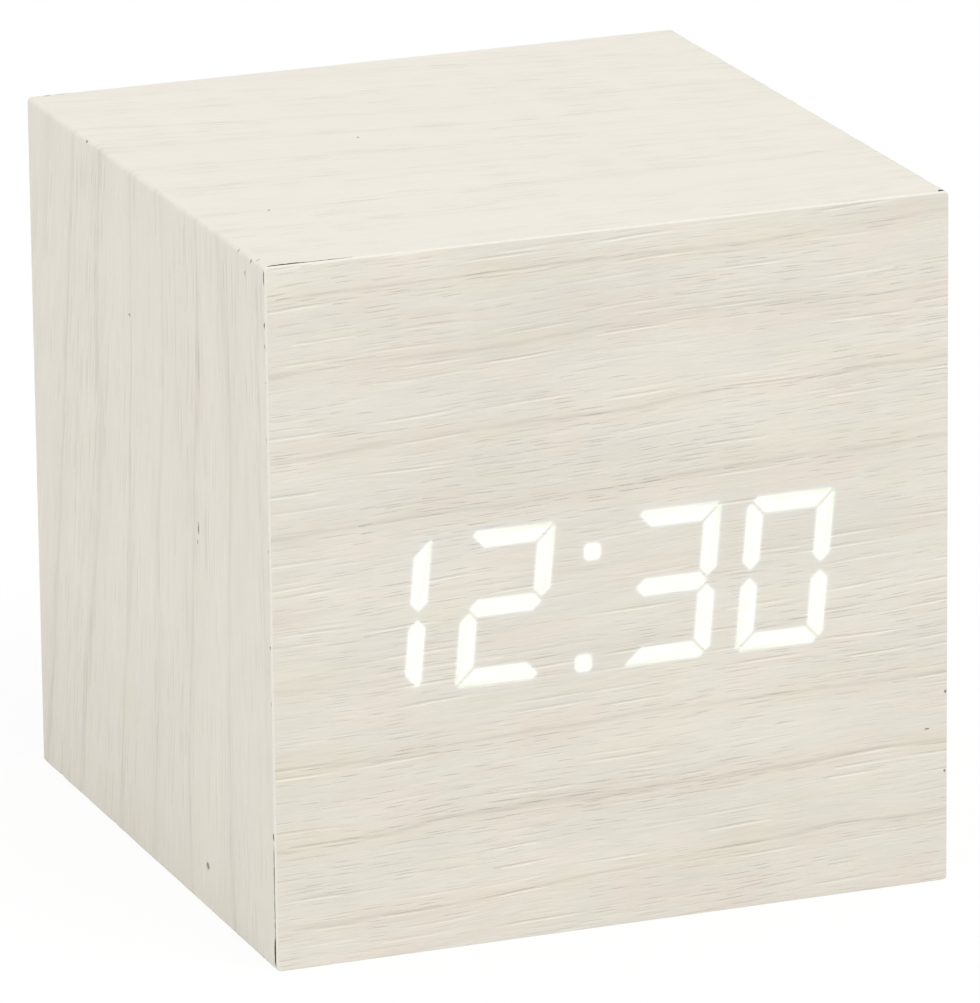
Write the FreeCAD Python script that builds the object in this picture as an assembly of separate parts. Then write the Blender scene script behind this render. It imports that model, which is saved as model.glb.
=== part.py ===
"""Cube table clock: foil-covered wood case, segment display, voice and battery parts.

Millimetres. X runs to the right seen from the front, the front face looks along -Y,
Z is up, and the origin is the middle of the face that the clock stands on.
"""
import FreeCAD, Part
import math
import os

V = FreeCAD.Vector
X_AXIS = V(1, 0, 0)
Y_AXIS = V(0, 1, 0)

# Case
board_thickness = 4.5
case_foil_thickness = 0.25
front_foil_thickness = 0.35
fold_radius = 0.6
front_corner_radius = 0.45
front_seam_gap = 0.1
base_foil_lap = 6.0
base_foil_joint = 0.2
panel_clearance = 0.1
front_board_thickness = 4.0
batten_side = 5.0
overrun = 1.0

# Display, measured on the front face
digit_height = 14.94
digit_width = 8.78
digit_stroke = 1.62
digit_slant = math.tan(math.radians(5.2))
display_drop = 1.0
hour_units_place = -10.9
hour_pitch = 12.26
minute_tens_place = 5.8
minute_pitch = 11.5
mitre_gap = 0.3
tip_gap = 0.85
large_chamfer = 1.0
small_chamfer = 0.4
colon_place = -2.53
colon_dot = 1.64
colon_dot_radius = 0.5
colon_upper_rise = 4.14
glow_depth = 0.12
window_margin = 1.2
diffuser_thickness = 0.2
mask_flange = 1.4
mask_clearance = 0.1
mask_gap = 0.5

# Main board behind the display
board_copper_thickness = 1.6
main_board_side_margin = 3.0
main_board_side_room = 2.0
main_board_height = 36.0
main_board_rise = 1.5
board_screw_inset = 2.6
screw_radius = 0.95
thread_clearance = 0.02
hole_clearance = 0.15
screw_head_radius = 1.7
screw_head_height = 1.1
cross_slot_share = 0.5
cross_arm_share = 1.2
head_round_share = 0.33
board_screw_grip = 2.6
led_length = 1.6
led_width = 0.8
led_height = 0.8

# Rear cover
rear_recess = 1.2
door_thickness = 2.0
door_seat_gap = 0.1
door_ledge = 0.7
cover_screw_grip = 5.0
head_pocket_depth = 1.3
head_pocket_clearance = 0.15

# Batteries, three cells of the slim common size
cell_diameter = 10.5
cell_length = 44.5
nub_diameter = 3.8
nub_length = 0.8
cell_gap = 0.4
cell_side_room = 0.25
cell_face_room = 0.3
cell_floor_room = 0.2
contact_thickness = 0.4
contact_height = 8.0
contact_width = 8.5
spring_length = 3.1
spring_wide_radius = 3.5
spring_narrow_radius = 2.2
spring_wire = 0.5
spring_turns = 2.5
bay_wall = 1.0
bay_batten_gap = 1.2
bay_rib_height = 2.0
bay_rib_width = 1.2
tab_width = 2.0
tab_reach = 2.4
tab_slot_clearance = 0.1

# Battery door
door_margin = 1.0
door_gap = 0.2
pin_radius = 0.6
pin_length = 1.2
pin_clearance = 0.05
pin_end_wall = 2.65
thumb_radius = 6.0
thumb_depth = 0.9
thumb_reach = 3.6
latch_width = 8.0
latch_height = 7.0
latch_slot = 0.7
grip_count = 3
grip_pitch = 1.6
grip_width = 0.7
grip_depth = 0.4

# Loudspeaker behind the grille
speaker_radius = 7.0
speaker_side_gap = 0.85
speaker_room = 1.7
speaker_board_gap = 0.8
speaker_flange = 1.0
speaker_depth = 3.6
basket_radius = 5.4
basket_wall = 0.4
magnet_radius = 4.4
magnet_depth = 1.4
coil_radius = 2.6
coil_wall = 0.3
coil_depth = 0.85
cone_thickness = 0.25
cone_edge = 0.9
cone_drop = 1.3
speaker_fit = 0.1
rim_wall = 0.8
rim_depth = 3.0
grille_hole_radius = 0.6
grille_pitch = 2.1
grille_ring_count = 2
grille_first_ring_count = 6

# Rear controls
rear_board_thickness = 1.2
rear_board_gap = 5.0
rear_board_side_gap = 0.85
rear_board_top_gap = 0.9
rear_board_bottom_gap = 0.6
button_row_drop = 5.6
button_radius = 2.0
button_fit = 0.1
button_proud = 0.7
button_flange_radius = 2.7
button_flange = 0.8
button_rest_gap = 0.05
button_round = 0.3
switch_side = 6.0
switch_gap = 2.0
switch_boss_gap = 1.2
switch_edge_room = 3.4
switch_body_height = 3.5
plunger_radius = 1.7
plunger_fit = 0.05
plunger_depth = 1.4
button_stroke = 0.4
plunger_end_room = 0.3

# Voice slide switch
slider_socket_gap = 3.9
slider_boss_gap = 2.0
lower_row_rise = 3.9
slider_body_length = 8.6
slider_body_width = 4.4
slider_body_height = 3.6
slider_travel = 2.0
slider_knob = 1.6
slider_fit = 0.1
slider_base_length = 3.0
slider_base_width = 2.6
slider_base_height = 0.8
slider_wall = 0.5
slider_proud = 0.6
slider_slot_width = 2.0

# Power socket
socket_edge_room = 2.6
socket_width = 7.6
socket_height = 3.0
socket_wall = 0.3
socket_round = 0.8
socket_setback = 0.3
socket_floor = 1.0
socket_fit = 0.15
tongue_width = 5.4
tongue_height = 0.7
tongue_setback = 0.8

# Rear board fixing
boss_radius = 1.7
boss_side_inset = 1.9
boss_edge_inset = 3.6
small_screw_radius = 0.7
small_head_radius = 1.3
small_head_height = 0.8
small_screw_grip = 3.6

# Electronics on the boards
chip_stand = 0.1
lead_thickness = 0.2
lead_reach = 1.1
lead_width = 0.4
clock_chip_size = (17.9, 7.5, 2.3)
clock_chip_offset = (-9.6, -3.5)
clock_chip_lead_count = 14
driver_chip_size = (9.9, 3.9, 1.5)
driver_chip_offsets = ((7.4, -8.0), (7.4, 0.0))
driver_chip_lead_count = 8
voice_chip_size = (4.9, 3.9, 1.5)
voice_chip_offset = (18.4, -8.0)
voice_chip_lead_count = 4
lead_pitch = 1.27
crystal_size = (11.0, 4.5, 3.5)
crystal_offset = (-9.6, -11.5)
crystal_round = 1.5
holder_radius = 7.2
holder_height = 2.6
holder_wall = 0.6
holder_floor = 0.5
backup_cell_radius = 6.25
backup_cell_height = 2.0
holder_offset = (-15.6, 9.1)
microphone_radius = 3.0
microphone_height = 2.7
microphone_offset = (20.4, 8.5)
microphone_mouth = 0.75
microphone_mouth_depth = 0.7
sensor_bead_radius = 1.0
sensor_leg_radius = 0.25
sensor_leg_pitch = 0.8
sensor_height = 4.0
sensor_offset = (20.4, 0.5)

# Cables
header_size = (12.0, 4.6, 4.0)
header_wall = 0.7
header_floor = 1.0
plug_fit = 0.05
plug_stand = 1.6
header_inset = 7.8
main_header_drop = 8.5
rear_header_lift = 7.6
flat_cable_width = 9.0
flat_cable_thickness = 0.8
flat_cable_radius = 6.0
wire_diameter = 1.0
wire_clearance = 0.3
wire_stand = 3.0


def block(x0, x1, y0, y1, z0, z1):
    """A box between two corners."""
    return Part.makeBox(x1 - x0, y1 - y0, z1 - z0, V(x0, y0, z0))


def centred_block(x, z, width, height, y0, y1):
    """A box centred on (x, z) between two depths."""
    return block(x - width / 2, x + width / 2, y0, y1, z - height / 2, z + height / 2)


def rod(x, z, radius, y0, y1):
    """A round bar along Y."""
    return Part.makeCylinder(radius, y1 - y0, V(x, y0, z), Y_AXIS)


def slab(points, y0, y1):
    """A prism along Y over an (x, z) outline."""
    corners = [V(x, y0, z) for x, z in points]
    wire = Part.makePolygon(corners + [corners[0]])
    return Part.Face(wire).extrude(V(0, y1 - y0, 0))


def rounded_slab(x0, x1, z0, z1, radius, y0, y1):
    """A prism along Y over a rectangle with round corners."""
    edges = []
    middle = math.sqrt(1 / 2)
    corners = ((x1, z1, 1, 1), (x0, z1, -1, 1), (x0, z0, -1, -1), (x1, z0, 1, -1))
    arcs = []
    for x, z, side, rise in corners:
        centre = V(x - side * radius, y0, z - rise * radius)
        flat_end = centre + V(side * radius, 0, 0)
        upright_end = centre + V(0, 0, rise * radius)
        top = centre + V(side * radius * middle, 0, rise * radius * middle)
        ends = (flat_end, upright_end) if side * rise > 0 else (upright_end, flat_end)
        arcs.append((ends[0], top, ends[1]))
    for start, top, end in arcs:
        following = arcs[(arcs.index((start, top, end)) + 1) % len(arcs)]
        edges.append(Part.Arc(start, top, end).toShape())
        edges.append(Part.LineSegment(end, following[0]).toShape())
    return Part.Face(Part.Wire(edges)).extrude(V(0, y1 - y0, 0))


def fuse(shapes):
    """One solid from touching shapes."""
    shapes = list(shapes)
    return shapes[0].multiFuse(shapes[1:]).removeSplitter()


def group(shapes):
    """Separate solids that share a node."""
    return Part.makeCompound(list(shapes))


def rounded_path(points, radius_limit):
    """Straight runs joined by tangent arcs, no arc larger than the limit."""
    edges = []
    start = points[0]
    for before, corner, after in zip(points, points[1:], points[2:]):
        run_in = corner - before
        run_out = after - corner
        half_turn = run_in.getAngle(run_out) / 2
        run_share = 0.45
        shorter = min(run_in.Length, run_out.Length)
        radius = min(radius_limit, run_share * shorter / math.tan(half_turn))
        reach = radius * math.tan(half_turn)
        arc_start = corner - run_in.normalize() * reach
        arc_end = corner + run_out.normalize() * reach
        inward = (arc_start + arc_end) / 2 - corner
        depth = radius / math.cos(half_turn) - radius
        middle = corner + inward.normalize() * depth
        edges.append(Part.LineSegment(start, arc_start).toShape())
        edges.append(Part.Arc(arc_start, middle, arc_end).toShape())
        start = arc_end
    edges.append(Part.LineSegment(start, points[-1]).toShape())
    return Part.Wire(edges)


def wire_tube(points, diameter, radius_limit):
    """A round wire along a rounded path."""
    path = rounded_path(points, radius_limit)
    heading = points[1] - points[0]
    ring = Part.Wire(Part.makeCircle(diameter / 2, points[0], heading))
    tube = path.makePipeShell([ring], True, False)
    expected = math.pi * diameter ** 2 / 4 * path.Length
    print("wire", round(path.Length, 2), "mm long, volume share", round(tube.Volume / expected, 4))
    return tube


# Places worked out from the sizes above
slant_reach = digit_slant * digit_height / 2
digit_places = (hour_units_place - hour_pitch, hour_units_place,
                minute_tens_place, minute_tens_place + minute_pitch)
window_left = digit_places[0] + digit_width / 2 - digit_stroke - slant_reach - window_margin
window_right = digit_places[-1] + digit_width / 2 + slant_reach + window_margin
main_board_left = window_left - main_board_side_margin
main_board_right = window_right + main_board_side_margin
main_board_middle = (main_board_left + main_board_right) / 2

cell_radius = cell_diameter / 2
cell_pitch = cell_diameter + cell_gap
bay_length = cell_length + spring_length + 2 * contact_thickness
bay_height = 3 * cell_diameter + 2 * cell_gap + 2 * cell_side_room
rim_radius = speaker_radius + speaker_fit + rim_wall
bay_rise = batten_side + bay_batten_gap + bay_wall
bay_side_room = door_margin + pin_length + door_gap + pin_end_wall
speaker_inset = batten_side + speaker_side_gap + rim_radius

# The rear board is as wide as the longer of its two rows of controls needs
boss_reach = boss_side_inset + boss_radius
button_inset = boss_reach + switch_boss_gap + switch_side / 2
button_pitch = switch_side + switch_gap
button_row = button_inset + 2 * button_pitch + switch_side / 2 + switch_edge_room
socket_inset = socket_edge_room + socket_width / 2
slider_inset = socket_inset + (socket_width + slider_body_length) / 2 + slider_socket_gap
lower_row = slider_inset + slider_body_length / 2 + slider_boss_gap + boss_reach
rear_board_width = max(button_row, lower_row)

# The inside is square, as wide as the widest of the cells, the controls and the display
# need, and at least as high as the bay with the loudspeaker above it
inner_side = max(bay_length + 2 * bay_side_room,
                 bay_rise + bay_height + bay_wall + 2 * rim_radius + speaker_room,
                 speaker_inset + rim_radius + speaker_board_gap + rear_board_width
                 + rear_board_side_gap + batten_side,
                 2 * (max(-main_board_left, main_board_right) + main_board_side_room))
cube_side = inner_side + 2 * (board_thickness + case_foil_thickness)
half = cube_side / 2
front_y = -half
foil_back_y = front_y + front_foil_thickness
case_front_y = foil_back_y + front_seam_gap
board_outer = half - case_foil_thickness
inner_half = board_outer - board_thickness
inner_bottom = half - inner_half
inner_top = half + inner_half
front_board_back_y = foil_back_y + front_board_thickness
cover_outer_y = half - rear_recess
door_inner_y = cover_outer_y - door_thickness
ledge_y = door_inner_y - door_seat_gap
cover_inner_y = ledge_y - door_ledge

display_height = half - display_drop
digit_bottom = display_height - digit_height / 2
digit_top = display_height + digit_height / 2
window_bottom = digit_bottom - window_margin
window_top = digit_top + window_margin
mask_front_y = foil_back_y + diffuser_thickness
main_board_front_y = front_board_back_y + mask_flange
main_board_rear_y = main_board_front_y + board_copper_thickness
main_board_centre_z = display_height + main_board_rise
main_board_bottom = main_board_centre_z - main_board_height / 2
main_board_top = main_board_centre_z + main_board_height / 2

cell_y = door_inner_y - cell_face_room - cell_radius
bay_floor_y = cell_y - cell_radius - cell_floor_room
bay_half = bay_length / 2
bay_bottom = inner_bottom + bay_rise
bay_top = bay_bottom + bay_height
cell_heights = [bay_bottom + cell_side_room + cell_radius + i * cell_pitch for i in range(3)]
door_half = bay_half + door_margin
door_radius = door_thickness / 2
hinge_y = cover_outer_y - door_radius
hinge_z = bay_bottom - door_margin
door_top = bay_top + door_margin

rear_board_rear_y = cover_inner_y - rear_board_gap
rear_board_front_y = rear_board_rear_y - rear_board_thickness
rear_board_bottom = bay_top + bay_wall + rear_board_bottom_gap
rear_board_top = inner_top - rear_board_top_gap
rear_board_right = inner_half - batten_side - rear_board_side_gap
rear_board_left = rear_board_right - rear_board_width
button_places = [rear_board_left + button_inset + i * button_pitch for i in range(3)]
button_z = inner_top - button_row_drop
slider_place = rear_board_left + slider_inset
socket_place = rear_board_left + socket_inset
boss_places = ((rear_board_left + boss_side_inset, rear_board_top - boss_edge_inset),
               (rear_board_right - boss_side_inset, rear_board_bottom + boss_edge_inset))
speaker_place = speaker_inset - inner_half
header_place = rear_board_left + header_inset + header_size[0] / 2
main_header_rise = main_board_top - main_header_drop
rear_header_rise = rear_board_bottom + rear_header_lift
lower_row_z = bay_top + bay_wall + lower_row_rise
speaker_z = bay_top + bay_wall + speaker_room / 2 + rim_radius
flange_outer_y = cover_inner_y - button_rest_gap
flange_inner_y = flange_outer_y - button_flange


def cover_screw_places():
    """The four corner screws of the rear cover."""
    reach = inner_half - batten_side / 2
    return [(side * reach, half + rise * reach) for side in (-1, 1) for rise in (-1, 1)]


def board_screw_places():
    """The four corner screws of the main board."""
    left = main_board_left + board_screw_inset
    right = main_board_right - board_screw_inset
    bottom = main_board_bottom + board_screw_inset
    top = main_board_top - board_screw_inset
    return [(x, z) for x in (left, right) for z in (bottom, top)]


def cross_screw(x, z, seat_y, facing, radius, head_radius, head_height, grip):
    """A cross-slot screw whose head sits on seat_y and faces +Y or -Y."""
    head_end = seat_y + facing * head_height
    tip = seat_y - facing * grip
    head = rod(x, z, head_radius, min(seat_y, head_end), max(seat_y, head_end))
    rim = [edge for edge in head.Edges
           if edge.Closed and abs(edge.CenterOfMass.y - head_end) < head_height / 2]
    head = head.makeFillet(head_height * head_round_share, rim)
    shank = rod(x, z, radius, min(seat_y, tip), max(seat_y, tip))
    slot_floor = head_end - facing * head_height / 2
    slot_end = head_end + facing * overrun
    slot_y0 = min(slot_floor, slot_end)
    slot_y1 = max(slot_floor, slot_end)
    arm = head_radius * cross_arm_share
    cross = fuse([centred_block(x, z, arm, cross_slot_share * radius, slot_y0, slot_y1),
                  centred_block(x, z, cross_slot_share * radius, arm, slot_y0, slot_y1)])
    return fuse([head, shank]).cut(cross)


# Case boards, battens and foils

def case_boards():
    """Four boards mitred at the corners, one per side of the tube."""
    low = half - board_outer
    high = half + board_outer
    board_round = fold_radius - case_foil_thickness
    tube = rounded_slab(-board_outer, board_outer, low, high, board_round, case_front_y, half)
    hollow = block(-inner_half, inner_half, case_front_y - overrun, half + overrun,
                   inner_bottom, inner_top)
    tube = tube.cut(hollow)
    reach = half + overrun
    wedges = {
        "left_board": [(0, half), (-reach, half - reach), (-reach, half + reach)],
        "right_board": [(0, half), (reach, half - reach), (reach, half + reach)],
        "top_board": [(0, half), (-reach, half + reach), (reach, half + reach)],
        "bottom_board": [(0, half), (-reach, half - reach), (reach, half - reach)],
    }
    return {name: tube.common(slab(points, case_front_y - overrun, half + overrun))
            for name, points in wedges.items()}


def case_foil():
    """The printed foil over the left side, the top and the right side, folded under."""
    low = half - board_outer
    high = half + board_outer
    board_round = fold_radius - case_foil_thickness
    outside = rounded_slab(-half, half, 0, cube_side, fold_radius, case_front_y, half)
    inside = rounded_slab(-board_outer, board_outer, low, high, board_round,
                          case_front_y - overrun, half + overrun)
    base_half = half - base_foil_lap
    base = block(-base_half, base_half, case_front_y - overrun, half + overrun,
                 -overrun, half)
    return outside.cut(inside).cut(base)


def base_foil():
    """The flat sheet that finishes the underside between the folded laps."""
    base_half = half - base_foil_lap - base_foil_joint
    return block(-base_half, base_half, case_front_y, half, 0, case_foil_thickness)


def front_board():
    """The panel inside the case's front end, with the display window and pilot holes."""
    reach = inner_half - panel_clearance
    panel = block(-reach, reach, foil_back_y, front_board_back_y, half - reach, half + reach)
    window = block(window_left, window_right, foil_back_y - overrun,
                   front_board_back_y + overrun, window_bottom, window_top)
    pilots = [rod(x, z, screw_radius + thread_clearance,
                  front_board_back_y - board_screw_grip, front_board_back_y + overrun)
              for x, z in board_screw_places()]
    return panel.cut(window).cut(group(pilots))


def corner_battens():
    """Four square battens in the corners, bored for the cover screws."""
    low = inner_half - batten_side
    battens = []
    for side in (-1, 1):
        for rise in (-1, 1):
            x0, x1 = sorted((side * low, side * inner_half))
            z0, z1 = sorted((half + rise * low, half + rise * inner_half))
            battens.append(block(x0, x1, front_board_back_y, cover_inner_y, z0, z1))
    depth = cover_screw_grip + overrun
    bores = [rod(x, z, screw_radius + thread_clearance, cover_inner_y - depth,
                 cover_inner_y + overrun) for x, z in cover_screw_places()]
    return group(batten.cut(group(bores)) for batten in battens)


# Display

def segment_outlines(gap):
    """The seven segments of an upright digit as (across, down) outlines.

    Across runs from the digit's left edge, down from its top edge. Neighbours are cut at
    45 degrees with the given gap, and two opposite corners are chamfered more.
    """
    w = digit_width
    h = digit_height
    s = digit_stroke
    mid = h / 2
    notch = gap / math.sqrt(2)
    tip = tip_gap / 2
    bar_tip = gap * math.sqrt(2) - tip

    def bar(left_chamfer, right_chamfer):
        return [(left_chamfer, 0), (w - right_chamfer, 0),
                (w - (right_chamfer + notch) / 2, (right_chamfer - notch) / 2),
                (w - s - notch, s), (s + notch, s),
                ((left_chamfer + notch) / 2, (left_chamfer - notch) / 2)]

    def post(chamfer):
        return [(0, chamfer), ((chamfer - notch) / 2, (chamfer + notch) / 2), (s, s + notch),
                (s, mid - tip - s / 2), (s / 2, mid - tip), (0, mid - tip - s / 2)]

    def over(points):
        return [(x, h - y) for x, y in points]

    def across(points):
        return [(w - x, y) for x, y in points]

    left_tip = s / 2 + bar_tip
    right_tip = w - left_tip
    middle_bar = [(left_tip, mid), (left_tip + s / 2, mid - s / 2),
                  (right_tip - s / 2, mid - s / 2), (right_tip, mid),
                  (right_tip - s / 2, mid + s / 2), (left_tip + s / 2, mid + s / 2)]
    return {
        "a": bar(large_chamfer, small_chamfer),
        "b": across(post(small_chamfer)),
        "c": over(across(post(large_chamfer))),
        "d": over(bar(small_chamfer, large_chamfer)),
        "e": over(post(small_chamfer)),
        "f": post(large_chamfer),
        "g": middle_bar,
    }


def placed_outline(outline, place):
    """An upright digit outline moved to its place on the face and slanted."""
    points = []
    for across, down in outline:
        z = digit_top - down
        points.append((place + across - digit_width / 2 + digit_slant * (z - display_height), z))
    return points


# The leading digit of a twelve-hour display is only ever a one or blank
digit_segments = ("bc", "abcdefg", "abcdefg", "abcdefg")
lit_digit_segments = ("bc", "abdeg", "abcdg", "abcdef")


def segment_slabs(segments, gap, y0, y1):
    """Prisms over the named segments of the four digits."""
    outlines = segment_outlines(gap)
    return [slab(placed_outline(outlines[letter], place), y0, y1)
            for place, letters in zip(digit_places, segments) for letter in letters]


def colon_centres():
    """The two colon dots: one above the middle, one level with the digits' foot."""
    heights = (display_height + colon_upper_rise, digit_bottom + colon_dot / 2)
    return [(colon_place + digit_slant * (z - display_height), z) for z in heights]


def colon_slabs(size, y0, y1):
    """Round-cornered square dots of the colon."""
    reach = size / 2
    return [rounded_slab(x - reach, x + reach, z - reach, z + reach, colon_dot_radius, y0, y1)
            for x, z in colon_centres()]


def front_foil():
    """The front sheet, thinned where the lit digits shine through."""
    sheet = rounded_slab(-half, half, 0, cube_side, front_corner_radius, front_y, foil_back_y)
    glow = segment_slabs(lit_digit_segments, mitre_gap, front_y - overrun, front_y + glow_depth)
    glow += colon_slabs(colon_dot, front_y - overrun, front_y + glow_depth)
    return sheet.cut(group(glow))


def lit_segments():
    """The glowing patches of the digits that show 12 and 30."""
    return group(segment_slabs(lit_digit_segments, mitre_gap, front_y, front_y + glow_depth))


def lit_colon():
    """The two glowing dots."""
    return group(colon_slabs(colon_dot, front_y, front_y + glow_depth))


def diffuser_sheet():
    """The thin white sheet between the foil and the mask."""
    return block(window_left + mask_clearance, window_right - mask_clearance,
                 foil_back_y, mask_front_y,
                 window_bottom + mask_clearance, window_top - mask_clearance)


def digit_mask():
    """The light guide block with one chimney per segment and a flange for the board."""
    nose = block(window_left + mask_clearance, window_right - mask_clearance,
                 mask_front_y, front_board_back_y,
                 window_bottom + mask_clearance, window_top - mask_clearance)
    flange = block(main_board_left, main_board_right, front_board_back_y, main_board_front_y,
                   main_board_bottom, main_board_top)
    chimneys = segment_slabs(digit_segments, mask_gap, mask_front_y - overrun,
                             main_board_front_y + overrun)
    chimneys += colon_slabs(colon_dot, mask_front_y - overrun, main_board_front_y + overrun)
    holes = [rod(x, z, screw_radius + hole_clearance, front_board_back_y - overrun,
                 main_board_front_y + overrun) for x, z in board_screw_places()]
    return fuse([nose, flange]).cut(group(chimneys + holes))


def segment_leds():
    """One small light behind every segment and dot."""
    lights = []
    front = main_board_front_y - led_height
    for place, letters in zip(digit_places, digit_segments):
        for letter in letters:
            upright = letter in "bcef"
            points = placed_outline(segment_outlines(mask_gap)[letter], place)
            x = sum(point[0] for point in points) / len(points)
            z = sum(point[1] for point in points) / len(points)
            width = led_width if upright else led_length
            height = led_length if upright else led_width
            lights.append(centred_block(x, z, width, height, front, main_board_front_y))
    for x, z in colon_centres():
        lights.append(centred_block(x, z, led_width, led_width, front, main_board_front_y))
    return group(lights)


# Main board and what it carries

def main_board():
    """The circuit board screwed to the front board through the mask's flange."""
    board = block(main_board_left, main_board_right, main_board_front_y, main_board_rear_y,
                  main_board_bottom, main_board_top)
    holes = [rod(x, z, screw_radius + hole_clearance, main_board_front_y - overrun,
                 main_board_rear_y + overrun) for x, z in board_screw_places()]
    return board.cut(group(holes))


def board_screws():
    """Four screws through the main board and the flange into the front board."""
    grip = board_copper_thickness + mask_flange + board_screw_grip
    return group(cross_screw(x, z, main_board_rear_y, 1, screw_radius, screw_head_radius,
                             screw_head_height, grip) for x, z in board_screw_places())


def on_main_board(offset):
    """A place on the main board, counted from its middle."""
    return main_board_middle + offset[0], main_board_centre_z + offset[1]


def leaded_chip(offset, size, leads):
    """A chip body with bent leads along its two long edges, on the main board's rear."""
    x, z = on_main_board(offset)
    length, width, height = size
    foot = main_board_rear_y
    body_front = foot + chip_stand
    parts = [centred_block(x, z, length, width, body_front, body_front + height)]
    shoulder = body_front + height / 2
    for i in range(leads):
        lead_x = x + (i - (leads - 1) / 2) * lead_pitch
        for side in (-1, 1):
            edge = z + side * width / 2
            knee = edge + side * lead_reach / 2
            toe = edge + side * lead_reach
            flat_z = sorted((edge, knee))
            toe_z = sorted((knee - side * lead_thickness, toe))
            leg_z = sorted((knee - side * lead_thickness, knee))
            x0 = lead_x - lead_width / 2
            x1 = lead_x + lead_width / 2
            parts.append(block(x0, x1, shoulder, shoulder + lead_thickness, *flat_z))
            parts.append(block(x0, x1, foot, shoulder + lead_thickness, *leg_z))
            parts.append(block(x0, x1, foot, foot + lead_thickness, *toe_z))
    return fuse(parts)


def crystal():
    """The timing crystal in its flat can."""
    x, z = on_main_board(crystal_offset)
    length, width, height = crystal_size
    return rounded_slab(x - length / 2, x + length / 2, z - width / 2, z + width / 2,
                        crystal_round, main_board_rear_y, main_board_rear_y + height)


def backup_holder():
    """A round tray that holds the backup cell on the main board."""
    x, z = on_main_board(holder_offset)
    front = main_board_rear_y
    tray = rod(x, z, holder_radius, front, front + holder_height)
    well = rod(x, z, holder_radius - holder_wall, front + holder_floor,
               front + holder_height + overrun)
    return tray.cut(well)


def backup_cell():
    """The coin cell that keeps the time when the power is off."""
    x, z = on_main_board(holder_offset)
    front = main_board_rear_y + holder_floor
    return rod(x, z, backup_cell_radius, front, front + backup_cell_height)


def microphone():
    """The sound sensor's can with its small opening."""
    x, z = on_main_board(microphone_offset)
    rear = main_board_rear_y + microphone_height
    can = rod(x, z, microphone_radius, main_board_rear_y, rear)
    mouth = rod(x, z, microphone_mouth, rear - microphone_mouth_depth, rear + overrun)
    return can.cut(mouth)


def thermistor():
    """The temperature sensor's bead on two legs."""
    x, z = on_main_board(sensor_offset)
    rear = main_board_rear_y + sensor_height
    bead = Part.makeSphere(sensor_bead_radius, V(x, rear - sensor_bead_radius, z))
    legs = [rod(x + side * sensor_leg_pitch / 2, z, sensor_leg_radius, main_board_rear_y,
                rear - sensor_bead_radius) for side in (-1, 1)]
    return fuse([bead] + legs)


# Rear cover

def grille_holes():
    """Rings of small round holes in front of the loudspeaker."""
    holes = [(speaker_place, speaker_z)]
    for ring in range(1, grille_ring_count + 1):
        count = grille_first_ring_count * ring
        for i in range(count):
            angle = 2 * math.pi * i / count
            holes.append((speaker_place + ring * grille_pitch * math.cos(angle),
                          speaker_z + ring * grille_pitch * math.sin(angle)))
    return [rod(x, z, grille_hole_radius, cover_inner_y - overrun, cover_outer_y + overrun)
            for x, z in holes]


def contact_plates_places():
    """The battery contacts: side, middle height and height of each plate."""
    first, second, third = cell_heights
    bridge = contact_height + cell_pitch
    return [(-1, first, contact_height), (-1, (second + third) / 2, bridge),
            (1, (first + second) / 2, bridge), (1, third, contact_height)]


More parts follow.
